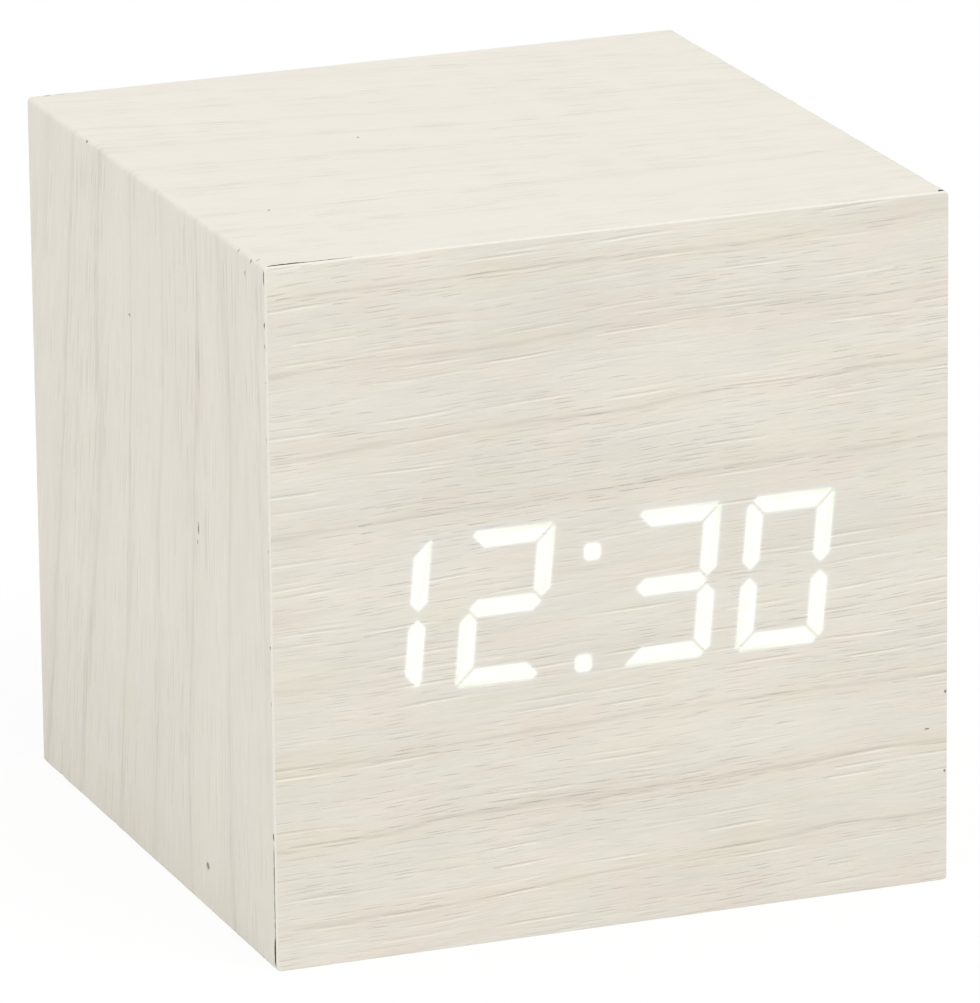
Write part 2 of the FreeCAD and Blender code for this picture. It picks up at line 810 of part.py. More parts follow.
def rear_cover():
    """The recessed plastic back with battery bay, grille, rim, bosses and openings."""
    reach = inner_half - panel_clearance
    plate = block(-reach, reach, cover_inner_y, cover_outer_y, half - reach, half + reach)
    outer_half = bay_half + bay_wall
    bay = block(-outer_half, outer_half, bay_floor_y - bay_wall, cover_inner_y + door_ledge,
                bay_bottom - bay_wall, bay_top + bay_wall)
    rim = rod(speaker_place, speaker_z, rim_radius,
              cover_inner_y - rim_depth, cover_inner_y + door_ledge)
    bosses = [rod(x, z, boss_radius, rear_board_rear_y, cover_inner_y + door_ledge)
              for x, z in boss_places]
    body = fuse([plate, bay, rim] + bosses)

    cuts = [block(-bay_half, bay_half, bay_floor_y, cover_outer_y + overrun,
                  bay_bottom, bay_top)]
    pocket_half = door_half + door_gap
    cuts.append(block(-pocket_half, pocket_half, ledge_y, cover_outer_y + overrun,
                      hinge_z - door_radius - door_gap, door_top + door_gap))
    cuts.append(Part.makeCylinder(pin_radius + pin_clearance,
                                  2 * (door_half + pin_length + door_gap),
                                  V(-(door_half + pin_length + door_gap), hinge_y, hinge_z),
                                  X_AXIS))
    cuts.append(rod(speaker_place, speaker_z, speaker_radius + speaker_fit,
                    cover_inner_y - rim_depth - overrun, cover_inner_y))
    cuts += grille_holes()
    for x, z in cover_screw_places():
        cuts.append(rod(x, z, screw_head_radius + head_pocket_clearance,
                        cover_outer_y - head_pocket_depth, cover_outer_y + overrun))
        cuts.append(rod(x, z, screw_radius + hole_clearance, cover_inner_y - overrun,
                        cover_outer_y + overrun))
    for x, z in boss_places:
        cuts.append(rod(x, z, small_screw_radius + thread_clearance,
                        rear_board_rear_y - overrun, rear_board_rear_y + small_screw_grip))
    for x in button_places:
        cuts.append(rod(x, button_z, button_radius + button_fit, cover_inner_y - overrun,
                        cover_outer_y + overrun))
    cuts.append(centred_block(slider_place, lower_row_z, slider_knob + slider_travel
                              + 2 * slider_fit, slider_slot_width,
                              cover_inner_y - overrun, cover_outer_y + overrun))
    socket_half = socket_width / 2 + socket_fit
    socket_rise = socket_height / 2 + socket_fit
    cuts.append(rounded_slab(socket_place - socket_half, socket_place + socket_half,
                             lower_row_z - socket_rise, lower_row_z + socket_rise,
                             socket_round, cover_inner_y - overrun, cover_outer_y + overrun))
    for side, z, height in contact_plates_places():
        slot_half = tab_width / 2 + tab_slot_clearance
        x0, x1 = sorted((side * bay_half, side * (bay_half - contact_thickness
                                                  - tab_slot_clearance)))
        cuts.append(block(x0, x1, bay_floor_y - bay_wall - overrun, bay_floor_y + overrun,
                          z - slot_half, z + slot_half))
    body = body.cut(group(cuts))

    ribs = []
    for lower, upper in zip(cell_heights, cell_heights[1:]):
        middle = (lower + upper) / 2
        rib_half = bay_half - contact_thickness - spring_length
        ribs.append(block(-rib_half, rib_half, bay_floor_y - bay_wall / 2,
                          bay_floor_y + bay_rib_height, middle - bay_rib_width / 2,
                          middle + bay_rib_width / 2))
    return fuse([body] + ribs)


def cover_screws():
    """Four screws that hold the rear cover on the battens."""
    seat = cover_outer_y - head_pocket_depth
    grip = seat - cover_inner_y + cover_screw_grip
    return group(cross_screw(x, z, seat, 1, screw_radius, screw_head_radius,
                             screw_head_height, grip) for x, z in cover_screw_places())


# Battery door and batteries

def battery_door():
    """The lid over the bay, turning on two pins at its lower edge."""
    panel = block(-door_half, door_half, door_inner_y, cover_outer_y, hinge_z, door_top)
    knuckle = Part.makeCylinder(door_radius, 2 * door_half, V(-door_half, hinge_y, hinge_z),
                                X_AXIS)
    pin_reach = door_half + pin_length
    pins = Part.makeCylinder(pin_radius, 2 * pin_reach, V(-pin_reach, hinge_y, hinge_z), X_AXIS)
    door = fuse([panel, knuckle, pins])
    cuts = []
    thumb_z = door_top - latch_height - thumb_reach
    thumb = rod(0, thumb_z, thumb_radius, cover_outer_y - thumb_depth, cover_outer_y + overrun)
    thumb_top = block(-thumb_radius - overrun, thumb_radius + overrun,
                      cover_outer_y - thumb_depth - overrun, cover_outer_y + 2 * overrun,
                      thumb_z - thumb_radius - overrun, thumb_z)
    cuts.append(thumb.cut(thumb_top))
    for side in (-1, 1):
        x0, x1 = sorted((side * latch_width / 2, side * (latch_width / 2 + latch_slot)))
        cuts.append(block(x0, x1, door_inner_y - overrun, cover_outer_y + overrun,
                          door_top - latch_height, door_top + overrun))
    for i in range(grip_count):
        z = door_top - latch_height / 4 - i * grip_pitch
        cuts.append(centred_block(0, z, latch_width - 2 * latch_slot, grip_width,
                                  cover_outer_y - grip_depth, cover_outer_y + overrun))
    return door.cut(group(cuts))


def cell_direction(index):
    """The side that a cell's positive nub points to: the outer two left, the middle right."""
    return 1 if index == 1 else -1


def battery(index):
    """One cell with its raised nub, lying along X."""
    side = cell_direction(index)
    z = cell_heights[index]
    plate_x = bay_half - contact_thickness
    nub_end = side * plate_x
    can_end = side * (plate_x - nub_length)
    can_start = side * (plate_x - cell_length)
    axis = V(side, 0, 0)
    can = Part.makeCylinder(cell_radius, cell_length - nub_length,
                            V(can_start, cell_y, z), axis)
    rims = [edge for edge in can.Edges if edge.Closed]
    can = can.makeFillet(nub_length / 2, rims)
    nub = Part.makeCylinder(nub_diameter / 2, abs(nub_end - can_end) + nub_length,
                            V(can_end - side * nub_length, cell_y, z), axis)
    return fuse([can, nub])


def spring_curve(start, side):
    """Points and headings along a conical spring, a quarter turn apart."""
    turns = int(spring_turns * 4)
    run = spring_length - spring_wire
    rows = []
    for i in range(turns + 1):
        share = i / turns
        angle = 2 * math.pi * spring_turns * share
        radius = spring_wide_radius + (spring_narrow_radius - spring_wide_radius) * share
        point = start + V(side * (spring_wire / 2 + run * share),
                          radius * math.cos(angle), radius * math.sin(angle))
        climb = run / (2 * math.pi * spring_turns)
        shrink = (spring_narrow_radius - spring_wide_radius) / (2 * math.pi * spring_turns)
        heading = V(side * climb,
                    shrink * math.cos(angle) - radius * math.sin(angle),
                    shrink * math.sin(angle) + radius * math.cos(angle))
        rows.append((point, heading.normalize()))
    return rows


def biarc(start, start_heading, end, end_heading):
    """Two tangent arcs that join two points with given headings."""
    chord = end - start
    both = start_heading + end_heading
    a = 2 * (1 - start_heading.dot(end_heading))
    b = 2 * chord.dot(both)
    c = -chord.dot(chord)
    reach = (-b + math.sqrt(b * b - 4 * a * c)) / (2 * a)
    joint = (start + end + (start_heading - end_heading) * reach) / 2
    arcs = []
    for point, heading, target in ((start, start_heading, joint),
                                   (end, end_heading * -1, joint)):
        line = target - point
        sideways = line - heading * line.dot(heading)
        radius = line.dot(line) / (2 * sideways.Length)
        centre = point + sideways.normalize() * radius
        outward = (point + target) / 2 - centre
        arcs.append((point, centre + outward.normalize() * radius, target))
    first = Part.Arc(*arcs[0]).toShape()
    second = Part.Arc(arcs[1][2], arcs[1][1], arcs[1][0]).toShape()
    return [first, second]


def battery_springs():
    """The conical springs that press on the flat end of each cell."""
    springs = []
    for index, z in enumerate(cell_heights):
        side = cell_direction(index)
        base = V(-side * (bay_half - contact_thickness), cell_y, z)
        rows = spring_curve(base, side)
        edges = []
        for (p, t), (q, u) in zip(rows, rows[1:]):
            edges += biarc(p, t, q, u)
        path = Part.Wire(edges)
        ring = Part.Wire(Part.makeCircle(spring_wire / 2, rows[0][0], rows[0][1]))
        spring = path.makePipeShell([ring], True, False)
        springs.append(spring)
        if index == 0:
            expected = math.pi * spring_wire ** 2 / 4 * path.Length
            step = (spring_length - spring_wire) / spring_turns
            shrink = (spring_wide_radius - spring_narrow_radius) / spring_turns
            print("spring volume share", round(spring.Volume / expected, 4),
                  "gap between turns", round(math.hypot(step, shrink) - spring_wire, 3))
    return group(springs)


def contact_plates():
    """Sheet-metal contacts at the ends of the bay, each with a tab through the floor."""
    plates = []
    for side, z, height in contact_plates_places():
        x0, x1 = sorted((side * bay_half, side * (bay_half - contact_thickness)))
        plate = block(x0, x1, cell_y - contact_width / 2, cell_y + contact_width / 2,
                      z - height / 2, z + height / 2)
        tab = block(x0, x1, bay_floor_y - bay_wall - tab_reach, cell_y,
                    z - tab_width / 2, z + tab_width / 2)
        plates.append(fuse([plate, tab]))
    return group(plates)


# Loudspeaker

def speaker_frame():
    """The stamped frame: a flange against the cover and a cup behind it."""
    flange_y = cover_inner_y - speaker_flange
    bottom_y = cover_inner_y - speaker_depth
    flange = rod(speaker_place, speaker_z, speaker_radius, flange_y, cover_inner_y)
    cup = rod(speaker_place, speaker_z, basket_radius, bottom_y, flange_y)
    mouth = rod(speaker_place, speaker_z, basket_radius - basket_wall,
                bottom_y + basket_wall, cover_inner_y + overrun)
    return fuse([flange, cup]).cut(mouth)


def speaker_magnet():
    """The magnet behind the cup."""
    front_of_cup = cover_inner_y - speaker_depth
    return rod(speaker_place, speaker_z, magnet_radius, front_of_cup - magnet_depth,
               front_of_cup)


def speaker_cone():
    """The thin cone: a raised edge, a slope and a small dome, turned about its axis."""
    edge = basket_radius - basket_wall
    back = cover_inner_y - cone_edge
    thick = cone_thickness
    dome = coil_radius
    profile = [(0, back - thick), (dome, back - cone_drop), (edge - thick, back),
               (edge, back), (edge, back + thick), (edge - thick, back + thick),
               (dome, back - cone_drop + thick), (0, back)]
    corners = [V(speaker_place + radius, y, speaker_z) for radius, y in profile]
    face = Part.Face(Part.makePolygon(corners + [corners[0]]))
    return face.revolve(V(speaker_place, 0, speaker_z), Y_AXIS, 360)


def voice_coil():
    """The coil on its former behind the cone."""
    rear = cover_inner_y - cone_edge - cone_drop - cone_thickness
    outer = coil_radius - coil_wall / 2
    tube = rod(speaker_place, speaker_z, outer, rear - coil_depth + cone_thickness,
               rear + cone_thickness / 2)
    bore = rod(speaker_place, speaker_z, outer - coil_wall, rear - coil_depth - overrun,
               rear + overrun)
    return tube.cut(bore)


# Rear board and controls

def rear_board():
    """The small board that carries the switches and the power socket."""
    board = block(rear_board_left, rear_board_right, rear_board_front_y, rear_board_rear_y,
                  rear_board_bottom, rear_board_top)
    holes = [rod(x, z, small_screw_radius + hole_clearance, rear_board_front_y - overrun,
                 rear_board_rear_y + overrun) for x, z in boss_places]
    return board.cut(group(holes))


def rear_board_screws():
    """Two screws that hold the rear board on the cover's bosses."""
    grip = rear_board_thickness + small_screw_grip - hole_clearance
    return group(cross_screw(x, z, rear_board_front_y, -1, small_screw_radius,
                             small_head_radius, small_head_height, grip)
                 for x, z in boss_places)


def switch_bodies():
    """The three square switch housings, bored for their plungers."""
    top = rear_board_rear_y + switch_body_height
    bodies = []
    for x in button_places:
        body = centred_block(x, button_z, switch_side, switch_side, rear_board_rear_y, top)
        floor = top - plunger_depth - button_stroke - plunger_end_room
        bore = rod(x, button_z, plunger_radius + plunger_fit, floor, top + overrun)
        bodies.append(body.cut(bore))
    return group(bodies)


def button_cap(x):
    """A round cap with a flange that keeps it behind the cover."""
    outer = cover_outer_y + button_proud
    stem = rod(x, button_z, button_radius, flange_outer_y, outer)
    rim = [edge for edge in stem.Edges if edge.Closed and abs(edge.CenterOfMass.y - outer)
           < button_round]
    stem = stem.makeFillet(button_round, rim)
    flange = rod(x, button_z, button_flange_radius, flange_inner_y, flange_outer_y)
    return fuse([stem, flange])


def button_plunger(x):
    """The plunger that the cap presses into the switch."""
    top = rear_board_rear_y + switch_body_height
    return rod(x, button_z, plunger_radius, top - plunger_depth, flange_inner_y)


def voice_switch_body():
    """The slide switch housing, hollow for its slider."""
    front = rear_board_rear_y
    top = front + slider_body_height
    body = centred_block(slider_place, lower_row_z, slider_body_length, slider_body_width,
                         front, top)
    cavity_length = slider_base_length + slider_travel + 2 * slider_fit
    cavity_width = slider_base_width + 2 * slider_fit
    cavity_depth = slider_base_height + 2 * slider_fit
    cavity = centred_block(slider_place, lower_row_z, cavity_length, cavity_width,
                           top - slider_wall - cavity_depth, top - slider_wall)
    slot = centred_block(slider_place, lower_row_z, slider_knob + slider_travel
                         + 2 * slider_fit, slider_knob + 2 * slider_fit,
                         top - slider_wall, top + overrun)
    return body.cut(fuse([cavity, slot]))


def voice_switch_knob():
    """The slider and its knob, resting at the left end of its travel."""
    top = rear_board_rear_y + slider_body_height
    x = slider_place - slider_travel / 2
    base_rear = top - slider_wall - slider_fit
    base = centred_block(x, lower_row_z, slider_base_length, slider_base_width,
                         base_rear - slider_base_height, base_rear)
    stem = centred_block(x, lower_row_z, slider_knob, slider_knob, base_rear,
                         cover_outer_y + slider_proud)
    return fuse([base, stem])


def socket_shell():
    """The folded metal shell of the power socket, closed at its inner end."""
    front = rear_board_rear_y
    mouth = cover_outer_y - socket_setback
    x0 = socket_place - socket_width / 2
    x1 = socket_place + socket_width / 2
    z0 = lower_row_z - socket_height / 2
    z1 = lower_row_z + socket_height / 2
    outside = rounded_slab(x0, x1, z0, z1, socket_round, front, mouth)
    inside = rounded_slab(x0 + socket_wall, x1 - socket_wall, z0 + socket_wall,
                          z1 - socket_wall, socket_round - socket_wall,
                          front + socket_floor, mouth + overrun)
    return outside.cut(inside)


def socket_tongue():
    """The contact tongue inside the power socket."""
    return centred_block(socket_place, lower_row_z, tongue_width, tongue_height,
                         rear_board_rear_y + socket_floor,
                         cover_outer_y - socket_setback - tongue_setback)


# Cables and connectors

def header_block(z, board_y, facing):
    """A shrouded header standing on a board, open along the facing direction."""
    width, height, depth = header_size
    end = board_y + facing * depth
    floor = board_y + facing * header_floor
    body = centred_block(header_place, z, width, height, min(board_y, end), max(board_y, end))
    far = end + facing * overrun
    cavity = centred_block(header_place, z, width - 2 * header_wall, height - 2 * header_wall,
                           min(floor, far), max(floor, far))
    return body.cut(cavity)


def plug_block(z, board_y, facing):
    """The plug that sits in a header and stands a little out of it."""
    width, height, depth = header_size
    floor = board_y + facing * (header_floor + plug_fit)
    end = board_y + facing * (depth + plug_stand)
    return centred_block(header_place, z, width - 2 * header_wall - 2 * plug_fit,
                         height - 2 * header_wall - 2 * plug_fit, min(floor, end),
                         max(floor, end))


def cable_headers():
    """The headers on the two boards."""
    return group([header_block(main_header_rise, main_board_rear_y, 1),
                  header_block(rear_header_rise, rear_board_front_y, -1)])


def cable_plugs():
    """The two plugs on the flat cable."""
    return group([plug_block(main_header_rise, main_board_rear_y, 1),
                  plug_block(rear_header_rise, rear_board_front_y, -1)])


def flat_cable():
    """The flat cable between the plugs, in one gentle double bend."""
    depth = header_size[2] + plug_stand
    start_y = main_board_rear_y + depth
    end_y = rear_board_front_y - depth
    third = (end_y - start_y) / 3
    x0 = header_place - flat_cable_width / 2
    points = [V(x0, start_y, main_header_rise), V(x0, start_y + third, main_header_rise),
              V(x0, end_y - third, rear_header_rise), V(x0, end_y, rear_header_rise)]
    path = rounded_path(points, flat_cable_radius)
    low = main_header_rise - flat_cable_thickness / 2
    profile = Part.makePolygon([V(x0, start_y, low),
                                V(x0 + flat_cable_width, start_y, low),
                                V(x0 + flat_cable_width, start_y, low + flat_cable_thickness),
                                V(x0, start_y, low + flat_cable_thickness),
                                V(x0, start_y, low)])
    cable = path.makePipeShell([profile], True, False)
    expected = flat_cable_width * flat_cable_thickness * path.Length
    print("flat cable", round(path.Length, 2), "mm, volume share",
          round(cable.Volume / expected, 4))
    return cable


def battery_wires():
    """The positive and negative leads from the bay's tabs up to the rear board."""
    tab_y = bay_floor_y - bay_wall - tab_reach
    radius = wire_diameter / 2
    reach = bay_half - contact_thickness / 2
    board_y = rear_board_front_y
    edge_z = rear_board_bottom + radius + wire_clearance
    first, second, third = cell_heights
    back_y = tab_y - wire_stand
    red_x = rear_board_left + wire_diameter
    red_top = edge_z + wire_diameter
    red = [V(-reach, tab_y, first), V(-reach, back_y, first),
           V(-reach + wire_stand, back_y, third), V(red_x - wire_stand, back_y, red_top),
           V(red_x, board_y - wire_stand, red_top), V(red_x, board_y, red_top)]
    black_x = rear_board_right - wire_diameter
    black_top = edge_z + 2 * wire_diameter + wire_stand
    black = [V(reach, tab_y, third), V(reach, back_y, third),
             V(black_x, back_y, black_top), V(black_x, board_y, black_top)]
    return {"battery_wire_red": wire_tube(red, wire_diameter, wire_stand),
            "battery_wire_black": wire_tube(black, wire_diameter, wire_stand)}


def speaker_wires():
    """Two leads from the loudspeaker's cup to the rear board."""
    cup_y = cover_inner_y - speaker_flange
    start_x = speaker_place + (speaker_radius + basket_radius) / 2
    leads = []
    for offset in (-wire_diameter, wire_diameter):
        z = speaker_z + offset
        pad_x = rear_board_left + wire_diameter
        back_y = rear_board_front_y - wire_stand
        leads.append(wire_tube([V(start_x, cup_y, z), V(start_x, back_y, z),
                                V(pad_x, back_y, z), V(pad_x, rear_board_front_y, z)],
                               wire_diameter, wire_stand / 2))
    return group(leads)


nodes = case_boards()
nodes["case_foil"] = case_foil()
nodes["base_foil"] = base_foil()
nodes["front_board"] = front_board()
nodes["front_foil"] = front_foil()
nodes["corner_battens"] = corner_battens()
nodes["lit_segments"] = lit_segments()
nodes["lit_colon"] = lit_colon()
nodes["diffuser_sheet"] = diffuser_sheet()
nodes["digit_mask"] = digit_mask()
nodes["segment_leds"] = segment_leds()
nodes["main_board"] = main_board()
nodes["board_screws"] = board_screws()
nodes["clock_chip"] = leaded_chip(clock_chip_offset, clock_chip_size, clock_chip_lead_count)
nodes["driver_chips"] = group(leaded_chip(offset, driver_chip_size, driver_chip_lead_count)
                              for offset in driver_chip_offsets)
nodes["voice_chip"] = leaded_chip(voice_chip_offset, voice_chip_size, voice_chip_lead_count)
nodes["crystal"] = crystal()
nodes["backup_holder"] = backup_holder()
nodes["backup_cell"] = backup_cell()
nodes["microphone"] = microphone()
nodes["thermistor"] = thermistor()
nodes["rear_cover"] = rear_cover()
nodes["cover_screws"] = cover_screws()
nodes["battery_door"] = battery_door()
for number in range(3):
    nodes["battery_%d" % (number + 1)] = battery(number)
nodes["battery_springs"] = battery_springs()
nodes["contact_plates"] = contact_plates()
nodes["speaker_frame"] = speaker_frame()
nodes["speaker_magnet"] = speaker_magnet()
nodes["speaker_cone"] = speaker_cone()
nodes["voice_coil"] = voice_coil()
nodes["rear_board"] = rear_board()
nodes["rear_board_screws"] = rear_board_screws()
nodes["switch_bodies"] = switch_bodies()
for name, place in zip(("set", "up", "down"), button_places):
    nodes[name + "_button"] = button_cap(place)
    nodes[name + "_plunger"] = button_plunger(place)
nodes["voice_switch_body"] = voice_switch_body()
nodes["voice_switch_knob"] = voice_switch_knob()
nodes["socket_shell"] = socket_shell()
nodes["socket_tongue"] = socket_tongue()
nodes["cable_headers"] = cable_headers()
nodes["cable_plugs"] = cable_plugs()
nodes["flat_cable"] = flat_cable()
nodes.update(battery_wires())
nodes["speaker_wires"] = speaker_wires()

os.makedirs("parts", exist_ok=True)
for name, shape in nodes.items():
    shape.exportStep("parts/%s.step" % name)
    if not shape.isValid():
        print("not valid:", name)
print(len(nodes), "nodes,", sum(len(shape.Solids) for shape in nodes.values()), "solids")
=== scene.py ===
# %% [markdown]
# # A cube clock whose digits shine through wood foil
#
# The clock is a tube of four boards, wrapped in one printed wood foil, with a front sheet of
# the same foil over its open end. Lamps behind the sheet draw the time as white light.
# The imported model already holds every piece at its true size. This lesson gives each piece its
# finish, and makes again the few whose small shape shows: the wrapped foil with its folds, the
# front sheet with its cut edge, the lit digits, and the softened mouldings at the back.

import bpy
import bmesh
import math
import numpy as np
from mathutils import Matrix, Vector, noise


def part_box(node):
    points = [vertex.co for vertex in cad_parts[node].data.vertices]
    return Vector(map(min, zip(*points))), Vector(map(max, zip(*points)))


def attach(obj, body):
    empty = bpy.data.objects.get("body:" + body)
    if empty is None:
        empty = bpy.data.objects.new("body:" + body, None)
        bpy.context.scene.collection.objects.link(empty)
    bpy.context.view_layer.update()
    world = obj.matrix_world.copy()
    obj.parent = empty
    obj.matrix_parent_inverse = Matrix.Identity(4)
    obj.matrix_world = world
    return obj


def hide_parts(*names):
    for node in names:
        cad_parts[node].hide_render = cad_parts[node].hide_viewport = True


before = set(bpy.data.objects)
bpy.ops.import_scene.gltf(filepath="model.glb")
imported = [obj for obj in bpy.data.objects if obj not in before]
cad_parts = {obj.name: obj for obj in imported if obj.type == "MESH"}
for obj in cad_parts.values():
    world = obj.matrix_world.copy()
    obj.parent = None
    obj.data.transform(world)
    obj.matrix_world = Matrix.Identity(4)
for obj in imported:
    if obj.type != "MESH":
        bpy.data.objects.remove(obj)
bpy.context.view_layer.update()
mm = 0.001
merge_distance = 1e-6

# %% [markdown]
# ## Tools for node trees
#
# A shader is a tree of small steps. It can be clicked together in the shader editor, but a
# script that names each step once is shorter to read and easy to change. These helpers add a
# node, feed a socket with either a number or another node's output, and do one sum at a time.

# %% Node helpers
mix_factor, mix_first, mix_second, mix_result = 0, 6, 7, 2


def add_node(tree, kind, **settings):
    """A new node with its settings."""
    node = tree.nodes.new(kind)
    for name, value in settings.items():
        setattr(node, name, value)
    return node


def feed(tree, socket, value):
    """Link an output to a socket, or set the socket's own value."""
    if isinstance(value, bpy.types.NodeSocket):
        tree.links.new(value, socket)
    else:
        socket.default_value = value


def calculate(tree, operation, *values):
    """One Math node."""
    node = add_node(tree, "ShaderNodeMath", operation=operation)
    for socket, value in zip(node.inputs, values):
        feed(tree, socket, value)
    return node.outputs[0]


def vector_step(tree, operation, first, second):
    """One Vector Math node with two vectors."""
    node = add_node(tree, "ShaderNodeVectorMath", operation=operation)
    feed(tree, node.inputs[0], first)
    feed(tree, node.inputs[1], second)
    return node.outputs[0]


def mix_colours(tree, share, first, second, way="MIX"):
    """One colour mix."""
    node = add_node(tree, "ShaderNodeMix", data_type="RGBA", blend_type=way)
    feed(tree, node.inputs[mix_factor], share)
    feed(tree, node.inputs[mix_first], first)
    feed(tree, node.inputs[mix_second], second)
    return node.outputs[mix_result]


def ramp(tree, value, start, end, low=0.0, high=1.0):
    """A smooth climb or fall of a value between two points."""
    node = add_node(tree, "ShaderNodeMapRange", interpolation_type="SMOOTHSTEP")
    for socket, given in zip(node.inputs, (value, start, end, low, high)):
        feed(tree, socket, given)
    return node.outputs[0]


def soft_noise(tree, place, detail=1.0, dimensions="2D"):
    """Noise whose grains are one unit of the given place wide."""
    node = add_node(tree, "ShaderNodeTexNoise", noise_dimensions=dimensions)
    feed(tree, node.inputs["Vector"], place)
    node.inputs["Scale"].default_value = 1
    node.inputs["Detail"].default_value = detail
    return node.outputs["Fac"]


def new_group(name, inputs, outputs):
    """An empty node group with named sockets: its tree, its inputs and its outputs."""
    tree = bpy.data.node_groups.new(name, "ShaderNodeTree")
    for label, kind, value in inputs:
        socket = tree.interface.new_socket(label, in_out="INPUT", socket_type="NodeSocket" + kind)
        socket.default_value = value
    for label, kind in outputs:
        tree.interface.new_socket(label, in_out="OUTPUT", socket_type="NodeSocket" + kind)
    given = add_node(tree, "NodeGroupInput").outputs
    result = add_node(tree, "NodeGroupOutput").inputs
    return tree, given, result


def place_group(tree, group, **values):
    """A group node in a material, with its inputs set; underscores stand for spaces."""
    node = add_node(tree, "ShaderNodeGroup", node_tree=group)
    for label, value in values.items():
        feed(tree, node.inputs[label.replace("_", " ")], value)
    return node.outputs


def screen_colour(red, green, blue):
    """A linear colour from the 0 to 255 values that it shows on screen."""
    channels = []
    for level in (red, green, blue):
        share = level / 255
        channels.append(share / 12.92 if share <= 0.04045 else ((share + 0.055) / 1.055) ** 2.4)
    return (*channels, 1.0)


def new_material(name):
    """A material with its shader, ready to be fed."""
    material = bpy.data.materials.new(name)
    material.use_nodes = True
    return material, material.node_tree, material.node_tree.nodes["Principled BSDF"].inputs


def bump(tree, inputs, height, depth, strength=1.0):
    """Feed the shader's normal from a height between 0 and 1, as deep as the depth in mm."""
    node = add_node(tree, "ShaderNodeBump")
    node.inputs["Strength"].default_value = strength
    node.inputs["Distance"].default_value = depth * mm
    feed(tree, node.inputs["Height"], height)
    feed(tree, inputs["Normal"], node.outputs["Normal"])


# %% [markdown]
# ## The printed wood
#
# The foil is a print of pale, limewashed wood with the grain pressed into it. Three things make it:
# growth lines about 8 mm apart, thin, broken and grey-brown; dashes pressed along the grain,
# crowded near the lines, as bright scores and dark pores, whose brightness is a painted highlight
# on one wall of the groove and whose darkness is painted shade on the other wall, over a printed
# pore where it is a pore; and faint fibres and clouds.
# An image would be simpler, but would have to be drawn or copied. Noise and cells stretched
# along the grain give the same look at any size, so one group serves every sheet of the foil.
# It works in millimetres along and across the grain.

# %% Dashes pressed along the grain
dash_end_shares = (0.5, 0.12)
weakest_dash_share = 0.25


def stretched(tree, place, grains):
    """The place in grains of a given length and width, moved aside by their shift."""
    length, width, shift = grains
    scaled = vector_step(tree, "DIVIDE", place, (length, width, 1.0))
    return vector_step(tree, "ADD", scaled, (shift, shift, 0.0))


def centred_noise(tree, place, grains, detail=1.0):
    """Stretched noise between about -0.5 and 0.5."""
    value = soft_noise(tree, stretched(tree, place, grains), detail)
    return calculate(tree, "SUBTRACT", value, 0.5)


def ridge(tree, value, middle, reach):
    """One where the value is at the middle, zero beyond the reach."""
    away = calculate(tree, "ABSOLUTE", calculate(tree, "SUBTRACT", value, middle))
    return ramp(tree, away, reach, 0.0)


def dashes(tree, place, cell, present, profiles):
    """One dash in some of the cells: its strength along each of the given profiles.

    A profile is a middle and a half width across the grain, as shares of the cell's width.
    """
    cells = stretched(tree, place, cell)
    voronoi = add_node(tree, "ShaderNodeTexVoronoi", voronoi_dimensions="2D")
    feed(tree, voronoi.inputs["Vector"], cells)
    voronoi.inputs["Scale"].default_value = 1
    parts = add_node(tree, "ShaderNodeSeparateXYZ")
    feed(tree, parts.inputs[0], vector_step(tree, "SUBTRACT", cells, voronoi.outputs["Position"]))
    chance = add_node(tree, "ShaderNodeSeparateColor")
    feed(tree, chance.inputs[0], voronoi.outputs["Color"])
    along = calculate(tree, "ABSOLUTE", parts.outputs["X"])
    body = ramp(tree, along, *dash_end_shares)
    shown = calculate(tree, "LESS_THAN", chance.outputs[0], present)
    amount = calculate(tree, "MULTIPLY", calculate(tree, "MULTIPLY", body, shown),
                       ramp(tree, chance.outputs[1], 0.0, 1.0, weakest_dash_share, 1.0))
    return [calculate(tree, "MULTIPLY", amount, ridge(tree, parts.outputs["Y"], *profile))
            for profile in profiles]


# %% The growth lines
ring_wobble = 0.7
ring_crowd = 2.2
ring_strength_shares = (0.9, 1.0, 0.95, 0.4, 0.4, 0.8, 1.0, 0.7)
# Grains of each noise: length and width in mm, and a shift that keeps it apart from the others
wander_grains = (60.0, 11.0, 4.1)
wobble_grains = (9.0, 1.8, 9.3)
break_grains = (8.0, 0.5, 2.7)
# A broken line: the noise where it fades out and where it is full, and what is left of it
break_levels = (0.28, 0.5, 0.35)


